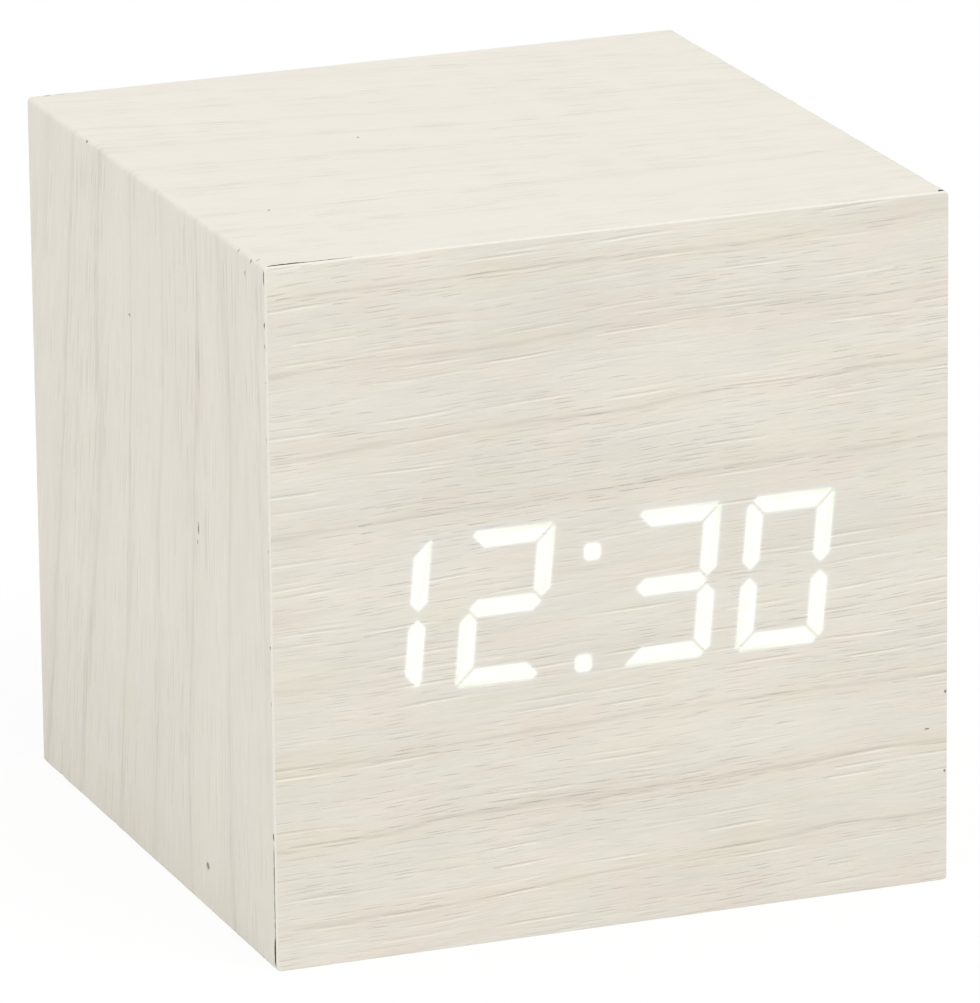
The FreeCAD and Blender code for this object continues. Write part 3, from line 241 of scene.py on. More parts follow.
def ring_layer(tree, given, grain, across):
    """The growth lines: the thin line itself, and how near each point is to one."""
    wander = centred_noise(tree, grain, wander_grains)
    wobble = centred_noise(tree, grain, wobble_grains, 2)
    height = calculate(tree, "MULTIPLY_ADD", wander, given["Ring wander"], across)
    height = calculate(tree, "MULTIPLY_ADD", wobble, ring_wobble, height)
    height = calculate(tree, "SUBTRACT", height, given["Ring start"])
    count = calculate(tree, "DIVIDE", height, given["Ring spacing"])
    number = calculate(tree, "ROUND", count)
    away = calculate(tree, "MULTIPLY", calculate(tree, "SUBTRACT", count, number),
                     given["Ring spacing"])
    ring_count = len(ring_strength_shares)
    turn = calculate(tree, "FRACT", calculate(tree, "DIVIDE", number, ring_count))
    strengths = add_node(tree, "ShaderNodeValToRGB")
    strengths.color_ramp.interpolation = "CONSTANT"
    stops = strengths.color_ramp.elements
    stops[1].position = 1 / ring_count
    for index, share in enumerate(ring_strength_shares):
        stop = stops[index] if index < 2 else stops.new(index / ring_count)
        stop.color = (share, share, share, 1)
    feed(tree, strengths.inputs[0], calculate(tree, "ADD", turn, 0.5 / ring_count))
    strength = calculate(tree, "MULTIPLY", strengths.outputs[0], given["Rings"])
    broken = ramp(tree, soft_noise(tree, stretched(tree, grain, break_grains), 2),
                  *break_levels)
    line = calculate(tree, "MULTIPLY", ridge(tree, away, 0.0, given["Ring width"]), broken)
    near = ridge(tree, away, 0.0, ring_crowd)
    return calculate(tree, "MULTIPLY", line, strength), calculate(tree, "MULTIPLY", near,
                                                                  strength)


# %% The wood print group
print_inputs = (("Place", "Vector", (0, 0, 0)), ("Colour", "Color", (1, 1, 1, 1)),
                ("Grain rise", "Float", 0.0), ("Grain fan", "Float", 0.0),
                ("Ring spacing", "Float", 7.5), ("Ring start", "Float", 0.0),
                ("Ring wander", "Float", 3.0), ("Ring width", "Float", 0.36),
                ("Dash size", "Vector", (1, 1, 1)),
                ("Rings", "Float", 1.0), ("Scores", "Float", 1.0), ("Pores", "Float", 1.0),
                ("Fibres", "Float", 1.0), ("Clouds", "Float", 1.0), ("Tints", "Float", 1.0),
                ("Contrast", "Float", 1.0))
blush_tint = (1.012, 0.985, 0.972, 1.0)
straw_tint = (1.0, 1.0, 0.965, 1.0)
bark_tint = (1.0, 0.984, 0.962, 1.0)
# Each row: grains of the cells, share of cells with a dash, and the profiles of its bright painted
# highlight and of its dark part (painted groove shade, over a printed pore in the pore and fleck
# rows)
score_dashes = ((11.0, 1.0, 0.0), 0.42, ((-0.08, 0.09), (0.09, 0.16)))
pore_dashes = ((5.0, 0.5, 5.7), 0.5, ((-0.26, 0.2), (0.06, 0.24)))
fleck_dashes = ((2.8, 0.4, 2.9), 0.45, ((-0.3, 0.2), (0.0, 0.26)))
bend_grains = (22.0, 9.0, 3.3)
fibre_grains = (3.0, 0.26, 1.3)
strand_grains = (7.0, 0.7, 8.2)
cloud_grains = (26.0, 8.0, 3.9)
patch_grains = (12.0, 4.0, 6.2)
# Pores crowd where this noise is high, and near the growth lines
crowd_grains = (30.0, 10.0, 7.9)
crowd_levels = (0.3, 0.6, 0.4)
crowd_near_share = 0.3
# Tinted patches: the noise where each tint starts and where it is full
tint_patches = ((0.52, 0.7, blush_tint), (0.46, 0.28, straw_tint))
# How many hundredths of its brightness each layer adds or takes
hundredth = 0.01
line_tone, near_tone = -11.0, -1.0
# The bright tones are painted highlight on the lit wall of each pressed groove; the dark tone of
# the scores is painted shade on the other wall, and the dark tones of the pores and flecks are
# printed pores deepened with painted groove shade.
score_painted_highlight, score_painted_shade = 22.0, -7.0
pore_painted_highlight, pore_print_and_painted_shade = 3.0, -5.0
fleck_painted_highlight, fleck_print_and_painted_shade = 1.0, -3.2
fibre_tone, strand_tone, cloud_tone = 8.0, 9.5, 16.0
fibre_rise_share = 0.5
print_roughness, groove_roughness = 0.5, 0.08


def grain_axes(tree, given):
    """The place along and across the grain, which rises and fans out over the sheet."""
    parts = add_node(tree, "ShaderNodeSeparateXYZ")
    feed(tree, parts.inputs[0], given["Place"])
    along, across = parts.outputs["X"], parts.outputs["Y"]
    slope = calculate(tree, "MULTIPLY_ADD", given["Grain fan"], across, given["Grain rise"])
    level = calculate(tree, "SUBTRACT", across, calculate(tree, "MULTIPLY", slope, along))
    joined = add_node(tree, "ShaderNodeCombineXYZ")
    feed(tree, joined.inputs["X"], along)
    feed(tree, joined.inputs["Y"], level)
    bend = centred_noise(tree, joined.outputs[0], bend_grains)
    level = calculate(tree, "ADD", level, bend)
    grain = add_node(tree, "ShaderNodeCombineXYZ")
    feed(tree, grain.inputs["X"], along)
    feed(tree, grain.inputs["Y"], level)
    return grain.outputs[0], level


def tint(tree, colour, amount, tint_colour):
    """The colour multiplied by a tint, by an amount."""
    return mix_colours(tree, amount, colour, mix_colours(tree, 1.0, colour, tint_colour,
                                                         "MULTIPLY"))


def wood_print():
    """The group: colour of the print, height of its pressed grain, and its gloss."""
    tree, given, result = new_group("Wood print", print_inputs,
                                    (("Colour", "Color"), ("Height", "Float"),
                                     ("Roughness", "Float")))
    grain, level = grain_axes(tree, given)
    line, near = ring_layer(tree, given, grain, level)
    crowd = ramp(tree, soft_noise(tree, stretched(tree, grain, crowd_grains)), *crowd_levels)
    crowd = calculate(tree, "MULTIPLY_ADD", near, crowd_near_share, crowd)
    scores = [calculate(tree, "MULTIPLY", layer, given["Scores"])
              for layer in dashes(tree, grain, *score_dashes)]
    pore_amount = calculate(tree, "MULTIPLY", given["Pores"], crowd)
    pore_place = vector_step(tree, "DIVIDE", grain, given["Dash size"])
    pores, flecks = [[calculate(tree, "MULTIPLY", layer, pore_amount)
                      for layer in dashes(tree, pore_place, *row)]
                     for row in (pore_dashes, fleck_dashes)]
    fibres, strands, clouds = [
        calculate(tree, "MULTIPLY", centred_noise(tree, grain, grains, 2), given[label])
        for grains, label in ((fibre_grains, "Fibres"), (strand_grains, "Fibres"),
                              (cloud_grains, "Clouds"))]
    layers = ((line, line_tone), (near, near_tone), (scores[0], score_painted_highlight),
              (scores[1], score_painted_shade), (pores[0], pore_painted_highlight), (pores[1], pore_print_and_painted_shade),
              (flecks[0], fleck_painted_highlight), (flecks[1], fleck_print_and_painted_shade), (fibres, fibre_tone),
              (strands, strand_tone), (clouds, cloud_tone))
    tone = 0.0
    for layer, strength in layers:
        tone = calculate(tree, "MULTIPLY_ADD", layer, strength, tone)
    tone = calculate(tree, "MULTIPLY", tone, given["Contrast"])
    colour = vector_step(tree, "SCALE", given["Colour"], (0, 0, 0))
    feed(tree, colour.node.inputs["Scale"],
         calculate(tree, "MULTIPLY_ADD", tone, hundredth, 1.0))
    tinted = calculate(tree, "MULTIPLY", given["Tints"], given["Contrast"])
    patch = soft_noise(tree, stretched(tree, grain, patch_grains))
    colour = tint(tree, colour, calculate(tree, "MULTIPLY", near, tinted), bark_tint)
    for patch_start, patch_end, tint_colour in tint_patches:
        amount = calculate(tree, "MULTIPLY", ramp(tree, patch, patch_start, patch_end), tinted)
        colour = tint(tree, colour, amount, tint_colour)
    feed(tree, result["Colour"], colour)
    groove = calculate(tree, "MAXIMUM", scores[1], calculate(tree, "MAXIMUM", pores[1],
                                                             flecks[1]))
    height = calculate(tree, "SUBTRACT", 1.0, groove)
    feed(tree, result["Height"],
         calculate(tree, "MULTIPLY_ADD", fibres, fibre_rise_share, height))
    feed(tree, result["Roughness"],
         calculate(tree, "MULTIPLY_ADD", groove, groove_roughness, print_roughness))
    return tree


# A rubbed mark: grains of its ragged outline, how ragged it is, and where it fades
scuff_grains = (0.25, 0.25, 1.9)
scuff_raggedness = 1.6
scuff_fade = (0.75, 0.25)
scuff_colour = screen_colour(140, 130, 116)


def scuff():
    """The group: how much a small rubbed mark darkens each point of the print."""
    tree, given, result = new_group("Scuff", (("Place", "Vector", (0, 0, 0)),
                                              ("Middle", "Vector", (0, 0, 0)),
                                              ("Reach", "Vector", (1, 1, 1))),
                                    (("Amount", "Float"),))
    away = vector_step(tree, "SUBTRACT", given["Place"], given["Middle"])
    away = vector_step(tree, "DIVIDE", away, given["Reach"])
    parts = add_node(tree, "ShaderNodeSeparateXYZ")
    feed(tree, parts.inputs[0], away)
    distance = calculate(tree, "ADD",
                         calculate(tree, "POWER", parts.outputs["X"], 2.0),
                         calculate(tree, "POWER", parts.outputs["Y"], 2.0))
    rough = soft_noise(tree, stretched(tree, given["Place"], scuff_grains), 2)
    spread = calculate(tree, "MULTIPLY_ADD", rough, scuff_raggedness,
                       calculate(tree, "SUBTRACT", distance, scuff_raggedness / 2))
    feed(tree, result["Amount"], ramp(tree, spread, *scuff_fade))
    return tree


wood_print_group = wood_print()
scuff_group = scuff()
print("wood print group has", len(wood_print_group.nodes), "nodes")

# %% [markdown]
# ## Light through the foil
#
# On the real clock the foil runs on over the digits and lamps behind it shine through. The foil
# spreads that light a little, so each stroke has a soft edge and a faint cool haze. Every point
# of the sheet and of the digits carries its distance from the nearest stroke's outline, and
# this group turns the distance into light: full inside, half near the outline, none a little out.

# %% The glow group
edge_softness = 0.2
edge_bleed = 0.3
haze_reach = 0.9
glow_colour = (0.23, 0.27, 0.26, 1)
haze_colour = (0.0, 0.012, 0.04, 1)
far_distance = 5.0


def glow():
    """The group: the light that comes through at a distance from a stroke's outline."""
    tree, given, result = new_group("Light through the foil",
                                    (("Distance", "Float", far_distance),),
                                    (("Light", "Color"),))
    distance = given["Distance"]
    core = ramp(tree, distance, edge_bleed, -edge_softness)
    haze = ramp(tree, distance, haze_reach, 0.0)
    light = mix_colours(tree, core, mix_colours(tree, haze, (0, 0, 0, 1), haze_colour),
                        glow_colour)
    feed(tree, result["Light"], light)
    return tree


glow_group = glow()
print("glow falls over", edge_bleed + edge_softness, "mm")

# %% [markdown]
# ## The finishes of the foil
#
# The same foil lies on the front, round the case and under the base, so three materials place the
# wood print group, each with its own grain. The sheets carry a map in millimetres along and across
# their grain, so the growth lines run on over the folds. The cut edge shows the foil's white core,
# and in the seam that edge is painted dark as shade of the seam.

# %% Foil materials
foil_colour = screen_colour(230, 225, 213)
core_colour = screen_colour(244, 242, 234)
seam_shade_dark = screen_colour(44, 38, 33)
seam_shade_light = screen_colour(92, 82, 72)
foil_gloss = 1.0
press_depth = 0.05
core_roughness, seam_shade_roughness, lit_roughness = 0.6, 0.8, 0.5
# Grains of the flecks on the cut edge, on the edge with painted seam shade and in the lit strokes
core_grains = (0.4, 0.4, 0.4)
seam_shade_grains = (0.6, 0.6, 0.6)
lit_grains = (2.0, 2.0, 0.4)
front_grain = {"Grain_rise": 0.035, "Ring_spacing": 7.5, "Ring_start": 5.6}
wrap_grain = {"Grain_rise": -0.08, "Grain_fan": -0.0035, "Ring_spacing": 8.5,
              "Ring_start": 3.0, "Ring_wander": 8.0, "Ring_width": 0.7, "Rings": 0.75,
              "Dash_size": (1.8, 1.35, 1.0), "Scores": 0.45, "Pores": 1.3, "Fibres": 0.6,
              "Clouds": 0.6, "Tints": 0.5}

# Rubbed marks: place and reach along and across the grain
front_marks = (((33.75, 18.9), (0.2, 0.25)), ((31.9, 15.4), (0.35, 0.1)),
               ((33.7, 11.0), (0.15, 0.2)))
wrap_marks = (((-14.4, 4.6), (0.16, 0.4)), ((-30.4, -14.1), (0.75, 0.28)),
              ((-31.8, -13.8), (0.3, 0.15)), ((-63.6, -14.9), (0.5, 0.6)),
              ((24.0, 6.7), (0.12, 0.4)), ((7.0, -15.1), (0.2, 0.25)),
              ((-0.35, -30.1), (0.3, 0.15)), ((-0.2, -26.6), (0.25, 0.12)),
              ((0.2, -31.1), (0.3, 0.12)), ((-1.9, -28.5), (0.35, 0.15)),
              ((-0.2, 16.3), (0.2, 0.3)), ((1.8, 33.8), (0.5, 0.15)),
              ((3.2, 33.8), (0.8, 0.1)))


def grain_place(tree):
    """Millimetres along and across the grain, from the sheet's own map."""
    return add_node(tree, "ShaderNodeUVMap", uv_map="grain").outputs[0]


def flecks_on(tree, grains, detail=1.0):
    """Noise in grains of the given size in mm, laid by the clock's own axes."""
    coordinates = add_node(tree, "ShaderNodeTexCoord").outputs["Object"]
    place = vector_step(tree, "DIVIDE", coordinates, [size * mm for size in grains])
    return soft_noise(tree, place, detail, "3D")


def feed_print(tree, inputs, wood, colour):
    """Feed a shader with a print: its colour, its gloss and its pressed grain."""
    feed(tree, inputs["Base Color"], colour)
    feed(tree, inputs["Roughness"], wood["Roughness"])
    inputs["Specular IOR Level"].default_value = foil_gloss
    bump(tree, inputs, wood["Height"], press_depth)


def feed_glow(tree, inputs):
    """Feed a shader with the light of the digits."""
    distance = add_node(tree, "ShaderNodeAttribute", attribute_name="glow_distance")
    light = place_group(tree, glow_group, Distance=distance.outputs["Fac"])["Light"]
    feed(tree, inputs["Emission Color"], light)
    inputs["Emission Strength"].default_value = 1


def with_scuffs(tree, colour, marks):
    """The print with rubbed marks; each mark is a middle and a reach in grain millimetres."""
    for middle, reach in marks:
        amount = place_group(tree, scuff_group, Place=grain_place(tree), Middle=(*middle, 0),
                             Reach=(*reach, 1))["Amount"]
        colour = mix_colours(tree, amount, colour, scuff_colour)
    return colour


def front_foil_material():
    """The front sheet: the print, with the light of the digits coming through."""
    material, tree, inputs = new_material("Foil on the front sheet")
    wood = place_group(tree, wood_print_group, Place=grain_place(tree), Colour=foil_colour,
                       **front_grain)
    feed_print(tree, inputs, wood, with_scuffs(tree, wood["Colour"], front_marks))
    feed_glow(tree, inputs)
    return material


def wrap_foil_material():
    """The wrapped foil: the same print, with its contrast lowered on the top as a painted sheen of
    the light from above.
    """
    material, tree, inputs = new_material("Foil round the case")
    contrast = add_node(tree, "ShaderNodeAttribute", attribute_name="print_contrast_with_painted_sheen")
    wood = place_group(tree, wood_print_group, Place=grain_place(tree), Colour=foil_colour,
                       Contrast=contrast.outputs["Fac"], **wrap_grain)
    feed_print(tree, inputs, wood, with_scuffs(tree, wood["Colour"], wrap_marks))
    return material


def base_foil_material():
    """The sheet under the clock, with the print laid by the clock's own axes."""
    material, tree, inputs = new_material("Foil under the base")
    coordinates = add_node(tree, "ShaderNodeTexCoord").outputs["Object"]
    place = vector_step(tree, "DIVIDE", coordinates, (mm, mm, mm))
    wood = place_group(tree, wood_print_group, Place=place, Colour=foil_colour, **wrap_grain)
    feed_print(tree, inputs, wood, wood["Colour"])
    return material


def foil_core_material():
    """The cut edge of the foil, where its white core shows."""
    material, tree, inputs = new_material("Foil core")
    flecks = flecks_on(tree, core_grains, 2)
    feed(tree, inputs["Base Color"], mix_colours(tree, flecks, core_colour, foil_colour))
    inputs["Roughness"].default_value = core_roughness
    return material


def painted_seam_shade_material():
    """The wrapped foil's edge in the seam, painted dark as shade of the seam."""
    material, tree, inputs = new_material("Foil edge with painted seam shade")
    flecks = flecks_on(tree, seam_shade_grains, 2)
    feed(tree, inputs["Base Color"], mix_colours(tree, flecks, seam_shade_dark, seam_shade_light))
    inputs["Roughness"].default_value = seam_shade_roughness
    return material


def lit_material():
    """The lit digits: white light through the foil, softer at the outline."""
    material, tree, inputs = new_material("Lit digits")
    fibres = flecks_on(tree, lit_grains)
    feed(tree, inputs["Base Color"], mix_colours(tree, fibres, foil_colour, core_colour))
    inputs["Roughness"].default_value = lit_roughness
    feed_glow(tree, inputs)
    return material


foil_on_front = front_foil_material()
foil_on_case = wrap_foil_material()
foil_on_base = base_foil_material()
foil_core = foil_core_material()
painted_seam_shade_edge = painted_seam_shade_material()
lit_white = lit_material()
print("foil materials:", foil_on_front.name, "/", foil_on_case.name, "/", foil_on_base.name)

# %% [markdown]
# ## Meshes from patches
#
# The foil pieces are thin shells with large flat faces and finely shaped edges. A dense grid
# would waste faces on the flats. Here each shell is a list of patches: a flat is one polygon,
# whatever the number of points on its rim, and an edge or a fold is a strip. Patches are made
# with their own points and merged afterwards, which closes the shell.

# %% Patch helpers
class Shell:
    """Faces gathered as lists of corners, each corner a point, a grain place and a value."""

    def __init__(self):
        self.faces = []

    def flat(self, corners, skin=0, smooth=False):
        self.faces.append((corners, skin, smooth))

    def strip(self, first, second, skin=0, smooth=True):
        """Quads between two chains of corners of the same length."""
        for a, b, c, d in zip(first, first[1:], second[1:], second):
            self.faces.append(([a, b, c, d], skin, smooth))


def corner(x, y, z, along=0.0, across=0.0, value=0.0):
    """One corner of a patch: its place in mm, its grain place in mm and its attribute."""
    return (x, y, z), (along, across), value


def shell_object(name, shell, materials, attribute):
    """A mesh object from a shell, its doubles merged and its faces turned outwards."""
    mesh = bpy.data.meshes.new(name)
    work = bmesh.new()
    grain = work.loops.layers.uv.new("grain")
    layer = work.verts.layers.float.new(attribute)
    for corners, skin, smooth in shell.faces:
        points = []
        for place, _, value in corners:
            vertex = work.verts.new(Vector(place) * mm)
            vertex[layer] = value
            points.append(vertex)
        face = work.faces.new(points)
        face.material_index = skin
        face.smooth = smooth
        for loop, (_, place, _) in zip(face.loops, corners):
            loop[grain].uv = place
    bmesh.ops.remove_doubles(work, verts=work.verts, dist=merge_distance)
    bmesh.ops.recalc_face_normals(work, faces=work.faces)
    work.to_mesh(mesh)
    work.free()
    for material in materials:
        mesh.materials.append(material)
    piece = bpy.data.objects.new(name, mesh)
    bpy.context.scene.collection.objects.link(piece)
    open_edges = sum(1 for edge in edge_uses(mesh).values() if edge != 2)
    print(name, len(mesh.vertices), "points,", len(mesh.polygons), "faces, open edges:",
          open_edges)
    return piece


def edge_uses(mesh):
    """How many faces use each edge."""
    uses = {}
    for face in mesh.polygons:
        for key in face.edge_keys:
            uses[key] = uses.get(key, 0) + 1
    return uses


def spaced(start, end, step):
    """Evenly spaced values from start to end, about a step apart."""
    count = max(1, round(abs(end - start) / step))
    return [start + (end - start) * i / count for i in range(count + 1)]


def waver(place, length, seed):
    """A smooth random value from -1 to 1 that changes over about the given length."""
    return noise.noise(Vector((place / length, seed, 0.5)))


# %% [markdown]
# ## The wrapped foil
#
# One sheet is folded round the left side, the top and the right side and lapped under the base.
# A bevelled box would show folds as straight as a ruler. The real folds change a little along their
# length, and where the sheet ends at the front its edge is worn back here and there, so a seam
# shows beside the front sheet, darkened with painted shade. The path of the sheet is a row of flats
# and folds; each fold's radius and the worn front edge come from formulas and a short list of worn
# places.

# %% Sizes of the wrapped foil
case_low, case_high = [corner_point / mm for corner_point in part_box("case_foil")]
sheet_low, sheet_high = [corner_point / mm for corner_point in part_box("front_foil")]
board_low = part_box("left_board")[0] / mm
half = case_high.x
cube_height = case_high.z
rear_y = case_high.y
seam_y = sheet_high.y
wrap_thickness = board_low.x - case_low.x
lap_reach = 6.0
fold_radius = 0.48
base_fold_radius = 0.36
inner_radius = 0.3
# A fold's radius swings over one length and, less, over a shorter one
fold_swing_share = 0.22
fold_least_share = 0.7
swing_length, ripple_length = 4.0, 1.1
ripple_share = 0.4
fold_steps = 8
rim_round = 0.04
rim_step = 0.3
fold_start_gap = 1.0
fold_step = 0.45
# The front edge wavers a little everywhere, and worn places have a rough outline
edge_waver, waver_length, waver_seed = 0.012, 1.1, 3.0
rough_share, rough_length, rough_seed = 0.35, 0.35, 8.0
fold_saving = 2 * fold_radius - math.pi * fold_radius / 2


def along_left(z):
    """Place along the sheet on the left side, counted from the corner with the top."""
    return z - cube_height


def along_top(x):
    """Place along the sheet on the top."""
    return x + half - fold_saving


def along_right(z):
    """Place along the sheet on the right side."""
    return along_top(half) - fold_saving + cube_height - z


# Worn places of the front edge: height on the left side, or x on the top, half length, depth
worn_left = ((66.9, 0.8, 0.32), (62.4, 0.35, 0.3), (60.4, 0.3, 0.26), (57.0, 0.2, 0.2),
             (51.5, 0.3, 0.16), (40.8, 0.3, 0.2), (31.5, 0.3, 0.24), (26.0, 0.25, 0.16),
             (13.1, 0.5, 0.3), (6.8, 6.6, 0.27), (1.8, 1.7, 0.45))
worn_top = ((-31.6, 2.3, 0.45), (-28.6, 4.0, 0.28), (33.45, 0.4, 0.6))
worn_places = [(along_left(z), reach, deep) for z, reach, deep in worn_left]
worn_places += [(along_top(x), reach, deep) for x, reach, deep in worn_top]
# Nicks in the folds: place from front to back, half length and depth
fold_nicks = ((-30.4, 0.2, 0.22), (-31.2, 0.15, 0.16), (-27.0, 0.2, 0.12), (12.5, 0.4, 0.1),
              (28.6, 0.7, 0.14))


def worn_depth(along):
    """How far the front edge of the sheet is worn back at a place along it."""
    depth = edge_waver + edge_waver * waver(along, waver_length, waver_seed)
    for middle, reach, deep in worn_places:
        share = abs(along - middle) / reach
        if share < 1:
            rough = 1 + rough_share * waver(along, rough_length, rough_seed)
            depth = max(depth, deep * rough * (1 - share ** 4))
    return depth


def fold_size(y, name):
    """The radius of a fold at a place from front to back."""
    seed = float(list(folds).index(name))
    swing = waver(y, swing_length, seed) + ripple_share * waver(y, ripple_length, seed)
    base = folds[name][2]
    radius = base * (1 + fold_swing_share * swing)
    for middle, reach, deep in fold_nicks:
        share = abs(y - middle) / reach
        if share < 1:
            radius += deep * (1 - share * share)
    return max(fold_least_share * base, radius)


print("foil", round(wrap_thickness, 3), "mm thick, seam at y", round(seam_y, 3))


# %% Build the wrapped foil
# Each fold: the cube's corner, the angle where it starts, its radius and the grain place there
quarter = math.pi / 2
folds = {
    "bottom_left": ((-half, 0.0), 3 * quarter, base_fold_radius, along_left(0) + fold_saving),
    "top_left": ((-half, cube_height), 2 * quarter, fold_radius, along_left(cube_height)),
    "top_right": ((half, cube_height), quarter, fold_radius, along_top(half)),
    "bottom_right": ((half, 0.0), 0.0, base_fold_radius, along_right(0)),
}
contrast_side = 1.0
# On the top the print's contrast is lowered: a painted sheen standing for the light from above
# washing the print out.
painted_sheen_top_contrast = 0.33
contrast_reach = 3.0
contrast_bleed_share = 0.4


def contrast_with_painted_sheen(along):
    """The print is plain on the sides; on the top its contrast is lowered as a painted sheen of the
    light from above.
    """
    start = along_left(cube_height)
    end = along_top(half)
    if start < along < end:
        edge = min(along - start, end - along) / contrast_reach
        bleed = contrast_bleed_share * max(0.0, 1 - edge)
        return painted_sheen_top_contrast + (contrast_side - painted_sheen_top_contrast) * bleed
    return contrast_side


def fold_point(name, step, radius, y, inset=0.0):
    """A corner on a fold, a share of the way round it."""
    (corner_x, corner_z), start, _, along_start = folds[name]
    side = math.copysign(1, corner_x)
    rise = 1 if corner_z > half else -1
    angle = start - quarter * step / fold_steps
    centre_x = corner_x - side * radius
    centre_z = corner_z - rise * radius
    reach = radius - inset
    x = centre_x + reach * math.cos(angle)
    z = centre_z + reach * math.sin(angle)
    share = step / fold_steps
    first = along_start - radius
    last = along_start - fold_saving + radius
    along = first + (last - first) * share
    return corner(x, y, z, along, y, contrast_with_painted_sheen(along))


def inner_fold_point(name, step, y):
    """The same place on the inner side, against the boards."""
    (corner_x, corner_z), start, _, along_start = folds[name]
    side = math.copysign(1, corner_x)
    rise = 1 if corner_z > half else -1
    angle = start - quarter * step / fold_steps
    centre_inset = inner_radius + wrap_thickness
    x = corner_x - side * centre_inset + inner_radius * math.cos(angle)
    z = corner_z - rise * centre_inset + inner_radius * math.sin(angle)
    along = along_start - fold_radius + (2 * fold_radius - fold_saving) * step / fold_steps
    return corner(x, y, z, along, y, 1.0)


# Each flat: the way along it, the way out of it, and its grain place
flats = {
    "left_lap": lambda s, out: (s, -out, along_left(0) - half - s + fold_saving),
    "left": lambda s, out: (-half - out, s, along_left(s)),
    "top": lambda s, out: (s, cube_height + out, along_top(s)),
    "right": lambda s, out: (half + out, s, along_right(s)),
    "right_lap": lambda s, out: (s, -out, along_right(0) - fold_saving + half - s),
}


def flat_point(name, s, y, out=0.0):
    """A corner on a flat, at a place along it, lifted out or sunk in."""
    x, z, along = flats[name](s, out)
    return corner(x, y, z, along, y, contrast_with_painted_sheen(along))


rear_end = rear_y - rim_round
fold_ys = spaced(seam_y + fold_start_gap, rear_end, fold_step)
lap_end = half - lap_reach
route = (("left_lap", -lap_end, -half, None, "bottom_left"),
         ("left", 0.0, cube_height, "bottom_left", "top_left"),
         ("top", -half, half, "top_left", "top_right"),
         ("right", cube_height, 0.0, "top_right", "bottom_right"),
         ("right_lap", half, lap_end, "bottom_right", None))


def flat_span(start, end, before, after, y):
    """The ends of a flat at a place from front to back, left by the folds' radii."""
    way = math.copysign(1, end - start)
    first = start + way * fold_size(y, before) if before else start
    last = end - way * fold_size(y, after) if after else end
    return first, last


def wrapped_foil():
    """The whole wrapped sheet as a closed shell."""
    shell = Shell()
    front_chains = {"skin": [], "rim": [], "inner": []}
    rear_chains = {"skin": [], "rim": [], "inner": []}
    for name, start, end, before, after in route:
        first, last = flat_span(start, end, before, after, seam_y)
        inner_way = math.copysign(inner_radius + wrap_thickness, end - start)
        inner_first = start + inner_way if before else start
        inner_last = end - inner_way if after else end
        stations = spaced(first, last, rim_step)
        front_skin, front_rim, front_inner = [], [], []
        for index, s in enumerate(stations):
            back = seam_y + worn_depth(flats[name](s, 0)[2])
            share = index / (len(stations) - 1)
            inner_s = inner_first + (inner_last - inner_first) * share
            front_skin.append(flat_point(name, s, back + rim_round))
            front_rim.append(flat_point(name, s, back, -rim_round))
            front_inner.append(flat_point(name, inner_s, back, -wrap_thickness))
        rear_ends = flat_span(start, end, before, after, rear_end)
        rear_skin = [flat_point(name, s, rear_end) for s in rear_ends]
        rear_rim = [flat_point(name, s, rear_y, -rim_round) for s in rear_ends]
        rear_inner = [flat_point(name, s, rear_y, -wrap_thickness)
                      for s in (inner_first, inner_last)]
        near_side = [flat_point(name, flat_span(start, end, before, after, y)[0], y)
                     for y in fold_ys[:-1]] if before else []
        far_side = [flat_point(name, flat_span(start, end, before, after, y)[1], y)
                    for y in fold_ys[:-1]] if after else []
        shell.flat(front_skin + far_side + rear_skin[::-1] + near_side[::-1])
        shell.flat((front_inner + rear_inner[::-1])[::-1])
        for chains, parts in ((front_chains, (front_skin, front_rim, front_inner)),
                              (rear_chains, (rear_skin, rear_rim, rear_inner))):
            for chain, part in zip(chains.values(), parts):
                chain += part
        if after:
            add_fold(shell, after, front_chains, rear_chains)
    for chains in (front_chains, rear_chains):
        shell.strip(chains["skin"], chains["rim"], 0, True)
        # The wrapped foil's front edge in the seam takes the painted seam shade; its rear edge
        # shows the foil's white core.
        shell.strip(chains["rim"], chains["inner"], 2 if chains is front_chains else 1, False)
    for index in (0, -1):
        shell.flat([front_chains["skin"][index], front_chains["rim"][index],
                    front_chains["inner"][index], rear_chains["inner"][index],
                    rear_chains["rim"][index], rear_chains["skin"][index]], 1)
    return shell_object("wrapped_foil", shell, (foil_on_case, foil_core, painted_seam_shade_edge),
                        "print_contrast_with_painted_sheen")


def add_fold(shell, name, front_chains, rear_chains):
    """One fold: strips from front to back, and its share of the two ends."""
    columns, inner_columns = [], []
    for step in range(fold_steps + 1):
        radius = fold_size(seam_y, name)
        along = fold_point(name, step, radius, 0)[1][0]
        back = seam_y + worn_depth(along)
        column = [fold_point(name, step, radius, back + rim_round)]
        column += [fold_point(name, step, fold_size(y, name), y) for y in fold_ys]
        columns.append(column)
        inner_columns.append([inner_fold_point(name, step, back),
                              inner_fold_point(name, step, rear_y)])
        if 0 < step < fold_steps:
            front_chains["skin"].append(column[0])
            front_chains["rim"].append(fold_point(name, step, radius, back, rim_round))
            front_chains["inner"].append(inner_columns[-1][0])
            rear_radius = fold_size(rear_end, name)
            rear_chains["skin"].append(column[-1])
            rear_chains["rim"].append(fold_point(name, step, rear_radius, rear_y, rim_round))
            rear_chains["inner"].append(inner_columns[-1][1])
    for first, second in zip(columns, columns[1:]):
        shell.strip(first, second)
    for first, second in zip(inner_columns, inner_columns[1:]):
        shell.strip(second, first)


wrap = wrapped_foil()
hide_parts("case_foil")
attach(wrap, "case")

# %% [markdown]
# ## The front sheet and its digits
#
# The front sheet is one flat piece of foil, cut to the cube's outline with slightly rounded
# corners. Its cut edge is the bright line beside the seam. The strokes of the digits could be
# painted in an image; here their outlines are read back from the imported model, so they stay
# exactly where the construction put them. A fine grid over the display stores each point's
# distance from the nearest outline, which the glow group turns into soft light.

